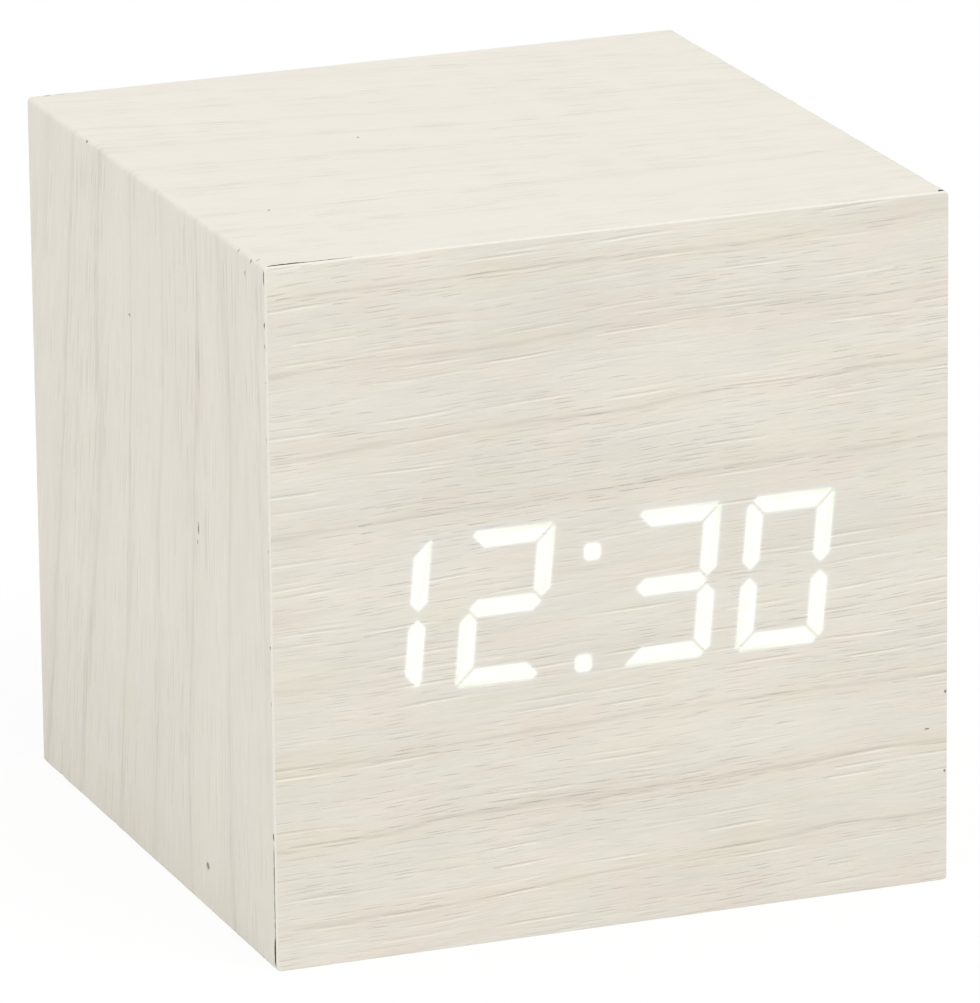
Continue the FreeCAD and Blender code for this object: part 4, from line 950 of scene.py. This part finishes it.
# %% Outlines of the lit strokes
def front_outlines(node):
    """The outlines of a node's frontmost faces, as loops of (x, z) in mm."""
    work = bmesh.new()
    work.from_mesh(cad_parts[node].data)
    bmesh.ops.remove_doubles(work, verts=work.verts, dist=merge_distance)
    front = min(vertex.co.y for vertex in work.verts)
    faces = {face for face in work.faces
             if all(vertex.co.y - front < merge_distance for vertex in face.verts)}
    following = {}
    for face in faces:
        for loop in face.loops:
            if loop.link_loop_radial_next.face not in faces:
                following[loop.vert] = loop.link_loop_next.vert
    loops = []
    while following:
        vertex, next_vertex = following.popitem()
        loop = [vertex]
        while next_vertex in following:
            loop.append(next_vertex)
            next_vertex = following.pop(next_vertex)
        loops.append([(v.co.x / mm, v.co.z / mm) for v in loop])
    work.free()
    return [straightened(loop) for loop in loops]


straight_limit = 1e-5


def straightened(loop):
    """A loop without the points that lie on a straight run, turning left."""
    area = sum(a[0] * b[1] - b[0] * a[1] for a, b in zip(loop, loop[1:] + loop[:1]))
    if area < 0:
        loop = loop[::-1]
    kept = []
    for before, point, after in zip(loop[-1:] + loop[:-1], loop, loop[1:] + loop[:1]):
        turn = ((point[0] - before[0]) * (after[1] - point[1])
                - (point[1] - before[1]) * (after[0] - point[0]))
        if abs(turn) > straight_limit:
            kept.append(point)
    return kept


stroke_round = 0.16
round_steps = 3


def rounded_loop(loop):
    """A convex loop with its corners rounded a little, as light through foil rounds them."""
    points = []
    for before, point, after in zip(loop[-1:] + loop[:-1], loop, loop[1:] + loop[:1]):
        p = Vector(point)
        to_before = Vector(before) - p
        to_after = Vector(after) - p
        reach = min(stroke_round, to_before.length / 3, to_after.length / 3)
        first = p + to_before.normalized() * reach
        last = p + to_after.normalized() * reach
        for step in range(round_steps + 1):
            share = step / round_steps
            way = first.lerp(p, share).lerp(p.lerp(last, share), share)
            points.append((way.x, way.y))
    return points


segment_loops = [rounded_loop(loop) for loop in front_outlines("lit_segments")]
colon_loops = front_outlines("lit_colon")
stroke_loops = segment_loops + colon_loops
print(len(segment_loops), "strokes and", len(colon_loops), "dots are lit")


# %% Distance from the strokes
def distances(points, loops):
    """Signed distance of each point from the nearest outline: negative inside."""
    nearest = np.full(len(points), np.inf)
    inside = np.zeros(len(points), bool)
    for loop in loops:
        ends = np.array(loop)
        starts = np.roll(ends, 1, axis=0)
        within = np.ones(len(points), bool)
        for start, end in zip(starts, ends):
            run = end - start
            length = run @ run
            if length == 0:
                continue
            away = points - start
            share = np.clip(away @ run / length, 0, 1)
            gap = np.hypot(*(away - share[:, None] * run).T)
            nearest = np.minimum(nearest, gap)
            within &= run[0] * away[:, 1] - run[1] * away[:, 0] >= 0
        inside |= within
    return np.where(inside, -nearest, nearest)


grid_step = 0.2
grid_margin = 1.6
stroke_points = np.array([point for loop in stroke_loops for point in loop])
grid_xs = spaced(*(stroke_points[:, 0].min() - grid_margin,
                   stroke_points[:, 0].max() + grid_margin), grid_step)
grid_zs = spaced(*(stroke_points[:, 1].min() - grid_margin,
                   stroke_points[:, 1].max() + grid_margin), grid_step)
grid_places = np.array([(x, z) for z in grid_zs for x in grid_xs])
grid_distance = distances(grid_places, stroke_loops).reshape(len(grid_zs), len(grid_xs))
print("display grid", len(grid_xs), "by", len(grid_zs))

# %% Build the front sheet
corner_round = 0.42
corner_steps = 6
edge_step = 0.4
edge_wear, wear_length, wear_seed = 0.02, 0.9, 5.0
face_sink = 0.004
# Sections of the cut edge, from the back: inset in mm and share of the thickness
edge_profile = ((0.0, 0.0), (0.0, 0.62), (0.03, 0.9), (0.1, 1.0))


def sheet_outline():
    """Points round the sheet with the way inwards at each: x, z, inward x, inward z."""
    rows = []
    centres = ((1, 1), (-1, 1), (-1, -1), (1, -1))
    reach = half - corner_round
    for index, (side, rise) in enumerate(centres):
        centre_x = side * reach
        centre_z = half + rise * reach
        for step in range(corner_steps + 1):
            angle = quarter * (index + step / corner_steps)
            rows.append((centre_x + corner_round * math.cos(angle),
                         centre_z + corner_round * math.sin(angle),
                         -math.cos(angle), -math.sin(angle)))
        next_side, next_rise = centres[(index + 1) % len(centres)]
        run_x = (next_side - side) * reach
        run_z = (next_rise - rise) * reach
        count = round(max(abs(run_x), abs(run_z)) / edge_step)
        x, z, inward_x, inward_z = rows[-1]
        for step in range(1, count):
            share = step / count
            rows.append((x + run_x * share, z + run_z * share, inward_x, inward_z))
    return rows


def front_sheet():
    """The sheet as a closed shell: back, cut edge, rounded rim and the face with its grid."""
    shell = Shell()
    thickness = sheet_high.y - sheet_low.y - face_sink
    face_y = sheet_low.y + face_sink
    rows = sheet_outline()
    chains = []
    for inset, share in edge_profile:
        y = sheet_high.y - thickness * share
        chain = []
        for index, (x, z, inward_x, inward_z) in enumerate(rows):
            wear = 0.0
            if share:
                rough = waver(index * edge_step, wear_length, wear_seed)
                wear = edge_wear * (0.5 + 0.5 * rough)
            at_x = x + inward_x * (inset + wear)
            at_z = z + inward_z * (inset + wear)
            chain.append(corner(at_x, y, at_z, at_x, at_z, far_distance))
        chains.append(chain)
    for index, (first, second) in enumerate(zip(chains, chains[1:])):
        shell.strip(first + first[:1], second + second[:1], 1, index > 0)
    shell.flat(chains[0])
    rim = chains[-1]
    grid = [[corner(x, face_y, z, x, z, min(far_distance, float(grid_distance[j][i])))
             for i, x in enumerate(grid_xs)] for j, z in enumerate(grid_zs)]
    for low, high in zip(grid, grid[1:]):
        shell.strip(low, high, 0, False)
    border = {"right": [row[-1] for row in grid], "top": grid[-1][::-1],
              "left": [row[0] for row in grid][::-1], "bottom": grid[0]}
    corners = [index for index in range(len(rim))
               if index % (len(rim) // 4) == corner_steps // 2]
    for index, side in enumerate(("top", "left", "bottom", "right")):
        start = corners[index]
        end = corners[(index + 1) % len(corners)]
        outer = rim[start:end + 1] if end > start else rim[start:] + rim[:end + 1]
        shell.flat(outer + border[side][::-1])
    return shell_object("front_sheet", shell, (foil_on_front, foil_core), "glow_distance")


front = front_sheet()
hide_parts("front_foil")
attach(front, "case")

# %% Build the lit digits
patch_depth = 0.1
inset_share = 1.15


def inset_loop(loop, inset):
    """A convex loop moved inwards by an inset, point by point."""
    points = []
    for before, point, after in zip(loop[-1:] + loop[:-1], loop, loop[1:] + loop[:1]):
        run = (Vector(after) - Vector(before)).normalized()
        inward = Vector((-run.y, run.x))
        moved = Vector(point) + inward * inset
        points.append((moved.x, moved.y))
    return points


def lit_digits():
    """Thin closed patches, one for each stroke and dot."""
    shell = Shell()
    face_y = sheet_low.y
    back_y = face_y + patch_depth
    inset = edge_softness * inset_share
    for loop in stroke_loops:
        rim = [corner(x, face_y, z, x, z, 0.0) for x, z in loop]
        core = [corner(x, face_y, z, x, z, -inset) for x, z in inset_loop(loop, inset)]
        back = [corner(x, back_y, z, x, z, 0.0) for x, z in loop]
        shell.flat(core)
        shell.strip(rim + rim[:1], core + core[:1], 0, False)
        shell.strip(back + back[:1], rim + rim[:1], 0, False)
        shell.flat(back[::-1])
    return shell_object("lit_digits", shell, (lit_white,), "glow_distance")


digits = lit_digits()
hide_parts("lit_segments", "lit_colon")
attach(digits, "case")

# %% [markdown]
# ## Finishes with a skin
#
# Plastics, boards and metals are never one flat colour. Mouldings carry the fine texture of
# their tool, fibreboard shows cut fibres, and metal has faint drawing lines. One group makes a
# skin from noise of a chosen grain size, stretched along one axis where the making does that.
# It gives a mottle for the colour, a height for the relief and a value for the gloss.

# %% The skin group
relief_detail, mottle_detail = 3, 2
broad_grains = (9.0, 9.0, 9.0)
mottle_levels = (0.3, 0.7)


def skin():
    """The group: mottle and relief in grains of a given size in mm."""
    tree, given, result = new_group("Skin", (("Grain", "Vector", (1, 1, 1)),
                                             ("Fleck share", "Float", 0.5)),
                                    (("Mottle", "Float"), ("Relief", "Float")))
    coordinates = add_node(tree, "ShaderNodeTexCoord").outputs["Object"]
    in_mm = vector_step(tree, "DIVIDE", coordinates, (mm, mm, mm))
    place = vector_step(tree, "DIVIDE", in_mm, given["Grain"])
    relief = soft_noise(tree, place, relief_detail, "3D")
    broad = soft_noise(tree, vector_step(tree, "DIVIDE", place, broad_grains), mottle_detail,
                       "3D")
    share = given["Fleck share"]
    rest = calculate(tree, "SUBTRACT", 1.0, share)
    mottle = calculate(tree, "MULTIPLY_ADD", relief, share,
                       calculate(tree, "MULTIPLY", broad, rest))
    feed(tree, result["Mottle"], ramp(tree, mottle, *mottle_levels))
    feed(tree, result["Relief"], relief)
    return tree


skin_group = skin()


def skinned(name, dark, light, roughness, grain, relief, metallic, flecks, gloss):
    """A material whose colour, gloss and relief follow the skin group."""
    material, tree, inputs = new_material(name)
    made = place_group(tree, skin_group, Grain=grain, Fleck_share=flecks)
    feed(tree, inputs["Base Color"], mix_colours(tree, made["Mottle"], screen_colour(*dark),
                                                 screen_colour(*light)))
    swing = calculate(tree, "MULTIPLY_ADD", made["Mottle"], roughness_swing,
                      roughness - roughness_swing / 2)
    feed(tree, inputs["Roughness"], swing)
    inputs["Metallic"].default_value = metallic
    inputs["Specular IOR Level"].default_value = gloss
    bump(tree, inputs, made["Relief"], relief)
    return material


# %% Skins of the hidden and rear pieces
roughness_swing = 0.08
# Each skin: dark and light colour on screen, roughness, grain and relief in mm, metallic,
# share of the fine flecks in its mottle, and gloss
skins = {
    "Fibreboard": ((150, 120, 86), (186, 158, 122), 0.85, (0.35, 0.35, 0.12), 0.05, 0, 0.75, 0.2),
    "Black moulding": ((30, 30, 32), (40, 40, 42), 0.52, (0.16, 0.16, 0.16), 0.012, 0, 0.6, 0.45),
    "Smooth moulding": ((24, 24, 26), (33, 33, 35), 0.34, (0.5, 0.5, 0.5), 0.003, 0, 0.3, 0.5),
    "Switch housing": ((28, 28, 30), (40, 40, 42), 0.5, (0.25, 0.25, 0.25), 0.006, 0, 0.3, 0.5),
    "Light guide": ((226, 227, 226), (238, 239, 238), 0.55, (0.4, 0.4, 0.4), 0.006, 0, 0.3, 0.5),
    "Diffuser film": ((236, 238, 238), (245, 246, 246), 0.6, (0.2, 0.2, 0.2), 0.003, 0, 0.3, 0.5),
    "Nylon": ((222, 218, 204), (236, 233, 222), 0.45, (0.5, 0.5, 0.5), 0.004, 0, 0.3, 0.5),
    "Solder resist": ((16, 78, 46), (30, 104, 62), 0.32, (0.9, 0.9, 0.9), 0.006, 0, 0.5, 0.5),
    "Moulded epoxy": ((34, 34, 36), (50, 50, 52), 0.6, (0.12, 0.12, 0.12), 0.008, 0, 0.7, 0.5),
    "Lamp lens": ((238, 232, 180), (250, 246, 206), 0.2, (0.4, 0.4, 0.4), 0.002, 0, 0.3, 0.5),
    "Screw steel": ((176, 177, 180), (206, 207, 210), 0.34, (0.25, 0.25, 0.25), 0.006, 1, 0.5, 0.5),
    "Nickel plate": ((200, 200, 202), (228, 228, 229), 0.2, (0.6, 0.6, 0.6), 0.002, 1, 0.3, 0.5),
    "Magnet plating": ((150, 151, 154), (176, 177, 180), 0.4, (0.5, 0.5, 0.5), 0.004, 1, 0.3, 0.5),
    "Cone film": ((44, 44, 48), (62, 62, 66), 0.35, (0.4, 0.4, 0.4), 0.01, 0, 0.3, 0.5),
    "Coil copper": ((186, 104, 58), (214, 134, 82), 0.3, (0.4, 0.08, 0.4), 0.01, 1, 0.3, 0.5),
    "Socket insulator": ((22, 22, 23), (32, 32, 33), 0.45, (0.3, 0.3, 0.3), 0.004, 0, 0.3, 0.5),
    "Grey insulation": ((160, 160, 164), (182, 182, 186), 0.5, (0.6, 0.6, 0.6), 0.006, 0, 0.3, 0.5),
    "Red insulation": ((166, 24, 22), (192, 40, 34), 0.42, (0.6, 0.6, 0.6), 0.004, 0, 0.3, 0.5),
    "Black insulation": ((24, 24, 25), (38, 38, 40), 0.42, (0.6, 0.6, 0.6), 0.004, 0, 0.3, 0.5),
    "Dipped bead": ((26, 26, 28), (42, 42, 44), 0.2, (0.5, 0.5, 0.5), 0.004, 0, 0.3, 0.5),
}
skin_materials = {name: skinned(name, *row) for name, row in skins.items()}
print(len(skin_materials), "skins")

# %% Fibreboard with painted seam shade
seam_shade_reach = 1.2
# The boards' front ends are painted this dark colour as painted shade of the seam.
painted_seam_shade_colour = screen_colour(52, 44, 38)


def board_with_painted_seam_shade_material():
    """Fibreboard painted dark at its front end as shade of the seam, which shows in the worn seam.
    """
    material = skinned("Fibreboard with painted seam shade", *skins["Fibreboard"])
    tree = material.node_tree
    inputs = tree.nodes["Principled BSDF"].inputs
    board = inputs["Base Color"].links[0].from_socket
    coordinates = add_node(tree, "ShaderNodeTexCoord").outputs["Object"]
    parts = add_node(tree, "ShaderNodeSeparateXYZ")
    feed(tree, parts.inputs[0], coordinates)
    in_painted_seam_shade = calculate(tree, "LESS_THAN", parts.outputs["Y"], (seam_y + seam_shade_reach) * mm)
    feed(tree, inputs["Base Color"], mix_colours(tree, in_painted_seam_shade, board, painted_seam_shade_colour))
    return material


fibreboard_with_painted_seam_shade = board_with_painted_seam_shade_material()
# Length of the boards' front ends that carry the painted seam shade.
print("glue on the boards for", seam_shade_reach, "mm")

# %% [markdown]
# ## The batteries
#
# Each cell is a steel can in a plain printed sleeve, with a darker band towards its raised
# end. The sleeve could be a second mesh, but it is only a tenth of a millimetre thick, so
# colour and metal switch along the cell instead. The middle cell lies the other way round.

# %% The battery sleeve
flat_end_bare, nub_end_bare = 0.9, 1.8
band_length = 11.0
sleeve_grain = (4.0, 0.5, 0.5)
sleeve_relief = 0.004
sleeve_fleck_share = 0.4
steel_glint_share = 0.12
sleeve_metallic, bare_metallic = 0.1, 0.9
sleeve_roughness, sleeve_roughness_swing = 0.25, 0.1
sleeve_blue = screen_colour(52, 66, 84)
sleeve_grey = screen_colour(196, 199, 203)
can_steel = screen_colour(190, 191, 193)


def battery_material(node):
    """A sleeve with a band at the end where the nub is."""
    low, high = [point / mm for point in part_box(node)]
    nub_side = -1 if abs(low.x) > abs(high.x) else 1
    nub_end = low.x if nub_side < 0 else high.x
    flat_end = high.x if nub_side < 0 else low.x
    material, tree, inputs = new_material("Sleeve of " + node)
    coordinates = add_node(tree, "ShaderNodeTexCoord").outputs["Object"]
    parts = add_node(tree, "ShaderNodeSeparateXYZ")
    feed(tree, parts.inputs[0], vector_step(tree, "DIVIDE", coordinates, (mm, mm, mm)))
    from_nub = calculate(tree, "ABSOLUTE", calculate(tree, "SUBTRACT", parts.outputs["X"],
                                                     nub_end))
    from_flat = calculate(tree, "ABSOLUTE", calculate(tree, "SUBTRACT", parts.outputs["X"],
                                                      flat_end))
    band = calculate(tree, "LESS_THAN", from_nub, band_length)
    bare = calculate(tree, "MAXIMUM", calculate(tree, "LESS_THAN", from_nub, nub_end_bare),
                     calculate(tree, "LESS_THAN", from_flat, flat_end_bare))
    made = place_group(tree, skin_group, Grain=sleeve_grain, Fleck_share=sleeve_fleck_share)
    sleeve = mix_colours(tree, band, sleeve_grey, sleeve_blue)
    glint = calculate(tree, "MULTIPLY", made["Mottle"], steel_glint_share)
    sleeve = mix_colours(tree, glint, sleeve, can_steel)
    feed(tree, inputs["Base Color"], mix_colours(tree, bare, sleeve, can_steel))
    feed(tree, inputs["Metallic"],
         calculate(tree, "MULTIPLY_ADD", bare, bare_metallic, sleeve_metallic))
    feed(tree, inputs["Roughness"],
         calculate(tree, "MULTIPLY_ADD", made["Mottle"], sleeve_roughness_swing,
                   sleeve_roughness))
    bump(tree, inputs, made["Relief"], sleeve_relief)
    return material


battery_nodes = ("battery_1", "battery_2", "battery_3")
battery_materials = {node: battery_material(node) for node in battery_nodes}
print(len(battery_materials), "sleeves")

# %% [markdown]
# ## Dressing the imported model
#
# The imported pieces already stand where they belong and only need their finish. A table names
# the pieces that each skin covers, and a loop puts it in their material slot. That is safer
# than a list of assignments, because the last line can name every piece that was forgotten.

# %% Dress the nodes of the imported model
skinned_nodes = {
    "Fibreboard": ("corner_battens",),
    "Black moulding": ("rear_cover", "battery_door"),
    "Smooth moulding": ("set_button", "up_button", "down_button", "voice_switch_knob"),
    "Switch housing": ("switch_bodies", "backup_holder"),
    "Light guide": ("digit_mask",),
    "Diffuser film": ("diffuser_sheet",),
    "Nylon": ("set_plunger", "up_plunger", "down_plunger", "cable_headers", "cable_plugs"),
    "Solder resist": ("main_board", "rear_board"),
    "Moulded epoxy": ("clock_chip", "driver_chips", "voice_chip"),
    "Lamp lens": ("segment_leds",),
    "Screw steel": ("board_screws", "cover_screws", "rear_board_screws", "crystal",
                    "microphone"),
    "Nickel plate": ("backup_cell", "battery_springs", "contact_plates", "voice_switch_body",
                     "socket_shell"),
    "Magnet plating": ("speaker_frame", "speaker_magnet"),
    "Cone film": ("speaker_cone",),
    "Coil copper": ("voice_coil",),
    "Socket insulator": ("socket_tongue",),
    "Grey insulation": ("flat_cable",),
    "Red insulation": ("battery_wire_red", "speaker_wires"),
    "Black insulation": ("battery_wire_black",),
    "Dipped bead": ("thermistor",),
}
finishes = {node: skin_materials[name] for name, nodes in skinned_nodes.items()
            for node in nodes}
finishes.update({side + "_board": fibreboard_with_painted_seam_shade
                 for side in ("left", "right", "top", "bottom", "front")})
finishes.update(battery_materials)
finishes.update({"base_foil": foil_on_base, "case_foil": foil_on_case,
                 "front_foil": foil_on_front, "lit_segments": lit_white,
                 "lit_colon": lit_white})
for node, material in finishes.items():
    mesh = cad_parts[node].data
    mesh.materials.clear()
    mesh.materials.append(material)
print("nodes without a finish:", sorted(set(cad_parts) - set(finishes)))

# %% [markdown]
# ## Softened mouldings
#
# Real mouldings have no sharp edge: every rim catches a thin line of light. A copy of the
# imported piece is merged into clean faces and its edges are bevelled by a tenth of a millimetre,
# which keeps the shape and its size and adds that line.

# %% Soften the mouldings at the back
flat_angle = math.radians(0.5)
edge_angle = math.radians(32)
edge_round, knob_round = 0.12, 0.1
flat_area = 2 * mm * mm


def softened(node, body, width, segments=2):
    """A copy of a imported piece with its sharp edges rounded, which then stands for it."""
    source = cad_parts[node]
    mesh = source.data.copy()
    work = bmesh.new()
    work.from_mesh(mesh)
    bmesh.ops.remove_doubles(work, verts=work.verts, dist=merge_distance)
    bmesh.ops.dissolve_limit(work, angle_limit=flat_angle, verts=work.verts, edges=work.edges)
    work.to_mesh(mesh)
    work.free()
    draft = bpy.data.objects.new(node + "_draft", mesh)
    bpy.context.scene.collection.objects.link(draft)
    rounding = draft.modifiers.new("Rounded edges", "BEVEL")
    rounding.width = width * mm
    rounding.segments = segments
    rounding.limit_method = "ANGLE"
    rounding.angle_limit = edge_angle
    rounding.use_clamp_overlap = True
    evaluated = draft.evaluated_get(bpy.context.evaluated_depsgraph_get())
    finished = bpy.data.meshes.new_from_object(evaluated)
    finished.name = node + "_softened"
    bpy.data.objects.remove(draft)
    finished.set_sharp_from_angle(angle=edge_angle)
    for face in finished.polygons:
        face.use_smooth = face.area < flat_area
    piece = bpy.data.objects.new(node + "_softened", finished)
    bpy.context.scene.collection.objects.link(piece)
    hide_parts(node)
    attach(piece, body)
    print(piece.name, len(finished.polygons), "faces")
    return piece


softened_pieces = (("rear_cover", "case", edge_round), ("battery_door", "door", edge_round),
                   ("voice_switch_knob", "voice_slider", knob_round))
for node, body, width in softened_pieces:
    softened(node, body, width)

# %% [markdown]
# ## Screws by Geometry Nodes
#
# Four equal screws hold the rear cover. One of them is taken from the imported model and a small
# Geometry Nodes tree sets it on the corners of a rectangle, each turned by its own amount, as a
# screwdriver leaves them. The tree ends in real geometry, because the export drops instances.

# %% The screw tree
def screw_tree(material):
    """Geometry Nodes: one screw on each corner of a rectangle that faces the back."""
    tree = bpy.data.node_groups.new("Screws on a rectangle", "GeometryNodeTree")
    tree.interface.new_socket("Screw", in_out="INPUT", socket_type="NodeSocketObject")
    tree.interface.new_socket("Width", in_out="INPUT", socket_type="NodeSocketFloat")
    tree.interface.new_socket("Height", in_out="INPUT", socket_type="NodeSocketFloat")
    tree.interface.new_socket("Seed", in_out="INPUT", socket_type="NodeSocketInt")
    tree.interface.new_socket("Geometry", in_out="OUTPUT", socket_type="NodeSocketGeometry")
    given = add_node(tree, "NodeGroupInput").outputs
    corners = add_node(tree, "GeometryNodeMeshGrid")
    feed(tree, corners.inputs["Size X"], given["Width"])
    feed(tree, corners.inputs["Size Y"], given["Height"])
    corners.inputs["Vertices X"].default_value = 2
    corners.inputs["Vertices Y"].default_value = 2
    upright = add_node(tree, "GeometryNodeTransform")
    feed(tree, upright.inputs["Geometry"], corners.outputs["Mesh"])
    upright.inputs["Rotation"].default_value = (quarter, 0, 0)
    turn = add_node(tree, "FunctionNodeRandomValue", data_type="FLOAT_VECTOR")
    turn.inputs["Min"].default_value = (0, 0, 0)
    turn.inputs["Max"].default_value = (0, quarter, 0)
    feed(tree, turn.inputs["Seed"], given["Seed"])
    screw = add_node(tree, "GeometryNodeObjectInfo")
    feed(tree, screw.inputs["Object"], given["Screw"])
    spread = add_node(tree, "GeometryNodeInstanceOnPoints")
    feed(tree, spread.inputs["Points"], upright.outputs["Geometry"])
    feed(tree, spread.inputs["Instance"], screw.outputs["Geometry"])
    feed(tree, spread.inputs["Rotation"], turn.outputs["Value"])
    real = add_node(tree, "GeometryNodeRealizeInstances")
    feed(tree, real.inputs["Geometry"], spread.outputs["Instances"])
    dressed = add_node(tree, "GeometryNodeSetMaterial")
    feed(tree, dressed.inputs["Geometry"], real.outputs["Geometry"])
    dressed.inputs["Material"].default_value = material
    result = add_node(tree, "NodeGroupOutput").inputs
    feed(tree, result["Geometry"], dressed.outputs["Geometry"])
    return tree


def first_screw(node):
    """One screw of a node, merged and moved to the origin: object and its place."""
    work = bmesh.new()
    work.from_mesh(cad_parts[node].data)
    bmesh.ops.remove_doubles(work, verts=work.verts, dist=merge_distance)
    low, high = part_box(node)
    middle = (low + high) / 2
    others = [v for v in work.verts if v.co.x > middle.x or v.co.z > middle.z]
    bmesh.ops.delete(work, geom=others, context="VERTS")
    bmesh.ops.dissolve_limit(work, angle_limit=flat_angle, verts=work.verts, edges=work.edges)
    head = max(v.co.y for v in work.verts)
    xs = [v.co.x for v in work.verts]
    zs = [v.co.z for v in work.verts]
    place = Vector(((min(xs) + max(xs)) / 2, head, (min(zs) + max(zs)) / 2))
    bmesh.ops.translate(work, verts=work.verts, vec=-place)
    mesh = bpy.data.meshes.new("one_screw")
    work.to_mesh(mesh)
    work.free()
    screw = bpy.data.objects.new("one_screw", mesh)
    bpy.context.scene.collection.objects.link(screw)
    return screw, place


def screws_from_nodes(node, body, seed):
    """The screws of a node, set out by the tree, as one plain mesh."""
    screw, place = first_screw(node)
    low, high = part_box(node)
    middle = (low + high) / 2
    holder = bpy.data.objects.new(node + "_draft", bpy.data.meshes.new(node + "_draft"))
    bpy.context.scene.collection.objects.link(holder)
    modifier = holder.modifiers.new("Screws", "NODES")
    modifier.node_group = screw_tree(skin_materials["Screw steel"])
    values = {"Screw": screw, "Width": 2 * (middle.x - place.x),
              "Height": 2 * (middle.z - place.z), "Seed": seed}
    for item in modifier.node_group.interface.items_tree:
        if item.name in values:
            modifier[item.identifier] = values[item.name]
    evaluated = holder.evaluated_get(bpy.context.evaluated_depsgraph_get())
    mesh = bpy.data.meshes.new_from_object(evaluated)
    mesh.transform(Matrix.Translation((middle.x, place.y, middle.z)))
    mesh.set_sharp_from_angle(angle=edge_angle)
    for face in mesh.polygons:
        face.use_smooth = True
    holder.modifiers.clear()
    bpy.data.objects.remove(holder)
    bpy.data.objects.remove(screw)
    piece = bpy.data.objects.new(node + "_set", mesh)
    bpy.context.scene.collection.objects.link(piece)
    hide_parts(node)
    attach(piece, body)
    print(piece.name, len(mesh.polygons), "faces")
    return piece


screw_seed = 4
screws_from_nodes("cover_screws", "case", screw_seed)

# %% [markdown]
# ## Studio
#
# The photograph is a product shot on white: soft light from everywhere, a little more from
# above and the front right, and a floor that melts into the background. The world gives the
# even light, and two large soft lamps the difference between the faces. For the camera's own
# rays the floor is mostly plain white, so only a faint shadow is left under the clock.

# %% World, floor and lamps
world_light = 0.845
floor_grey = (0.8, 0.8, 0.8, 1)
floor_white = (1, 1, 1, 1)
floor_reach = 3.0
camera_white_share = 0.9


def studio_world():
    """Even white light; the camera, gloss and glass see plain white."""
    world = bpy.data.worlds.new("Studio")
    world.use_nodes = True
    bpy.context.scene.world = world
    tree = world.node_tree
    tree.nodes.clear()
    path = add_node(tree, "ShaderNodeLightPath").outputs
    seen = calculate(tree, "MAXIMUM", path["Is Camera Ray"],
                     calculate(tree, "MAXIMUM", path["Is Glossy Ray"],
                               path["Is Transmission Ray"]))
    dim = add_node(tree, "ShaderNodeBackground")
    dim.inputs["Color"].default_value = (1, 1, 1, 1)
    dim.inputs["Strength"].default_value = world_light
    white = add_node(tree, "ShaderNodeBackground")
    white.inputs["Color"].default_value = (1, 1, 1, 1)
    mix = add_node(tree, "ShaderNodeMixShader")
    feed(tree, mix.inputs[0], seen)
    feed(tree, mix.inputs[1], dim.outputs[0])
    feed(tree, mix.inputs[2], white.outputs[0])
    output = add_node(tree, "ShaderNodeOutputWorld")
    feed(tree, output.inputs["Surface"], mix.outputs[0])


def studio_floor():
    """A pale floor that is almost white to the camera and keeps a soft shadow."""
    mesh = bpy.data.meshes.new("floor")
    reach = floor_reach
    mesh.from_pydata([(-reach, -reach, 0), (reach, -reach, 0), (reach, reach, 0),
                      (-reach, reach, 0)], [], [(0, 1, 2, 3)])
    floor = bpy.data.objects.new("floor", mesh)
    bpy.context.scene.collection.objects.link(floor)
    material, tree, inputs = new_material("Floor")
    inputs["Roughness"].default_value = 1.0
    inputs["Specular IOR Level"].default_value = 0.0
    shader = tree.nodes["Principled BSDF"]
    output = tree.nodes["Material Output"]
    white = add_node(tree, "ShaderNodeEmission")
    seen = add_node(tree, "ShaderNodeLightPath").outputs["Is Camera Ray"]
    feed(tree, inputs["Base Color"], mix_colours(tree, seen, floor_grey, floor_white))
    mix = add_node(tree, "ShaderNodeMixShader")
    feed(tree, mix.inputs[0], calculate(tree, "MULTIPLY", seen, camera_white_share))
    feed(tree, mix.inputs[1], shader.outputs[0])
    feed(tree, mix.inputs[2], white.outputs[0])
    feed(tree, output.inputs["Surface"], mix.outputs[0])
    mesh.materials.append(material)
    return floor


def soft_lamp(name, place, target, size, power):
    """A square lamp that looks at a target."""
    light = bpy.data.lights.new(name, "AREA")
    light.shape = "SQUARE"
    light.size = size
    light.energy = power
    lamp = bpy.data.objects.new(name, light)
    lamp.location = place
    lamp.rotation_euler = (Vector(target) - Vector(place)).to_track_quat("-Z", "Y").to_euler()
    bpy.context.scene.collection.objects.link(lamp)
    return lamp


cube_middle = (0.0, 0.0, half * mm)
lamp_settings = {"key": ((0.35, -0.75, 1.4), 0.7, 5.3), "fill": ((-1.3, -0.5, 0.6), 0.9, 2.6)}
studio_world()
studio_floor()
for name, (place, size, power) in lamp_settings.items():
    soft_lamp(name, place, cube_middle, size, power)
print("world", world_light, "lamps", lamp_settings)

# %% [markdown]
# ## Camera
#
# The eight corners of the cube in the photograph fix the camera: a long lens from the front
# left, seventeen degrees above the horizon and rolled by half a degree. The place of the lens
# and the point that it looks at are lengths in metres.

# %% The camera
lens_length = 348.0
sensor_width = 36.0
eye = Vector((-0.3199, -0.8363, 0.3029))
look_at = Vector((0.0005, -0.0006, 0.0324))
roll = math.radians(-0.64)

camera_data = bpy.data.cameras.new("camera")
camera_data.lens = lens_length
camera_data.sensor_width = sensor_width
camera = bpy.data.objects.new("camera", camera_data)
camera.location = eye
facing = (look_at - eye).to_track_quat("-Z", "Y").to_matrix()
camera.rotation_euler = (facing @ Matrix.Rotation(roll, 3, "Z")).to_euler()
bpy.context.scene.collection.objects.link(camera)
bpy.context.scene.camera = camera
bpy.context.scene.view_settings.view_transform = "Standard"
print("camera at", [round(value, 4) for value in eye])
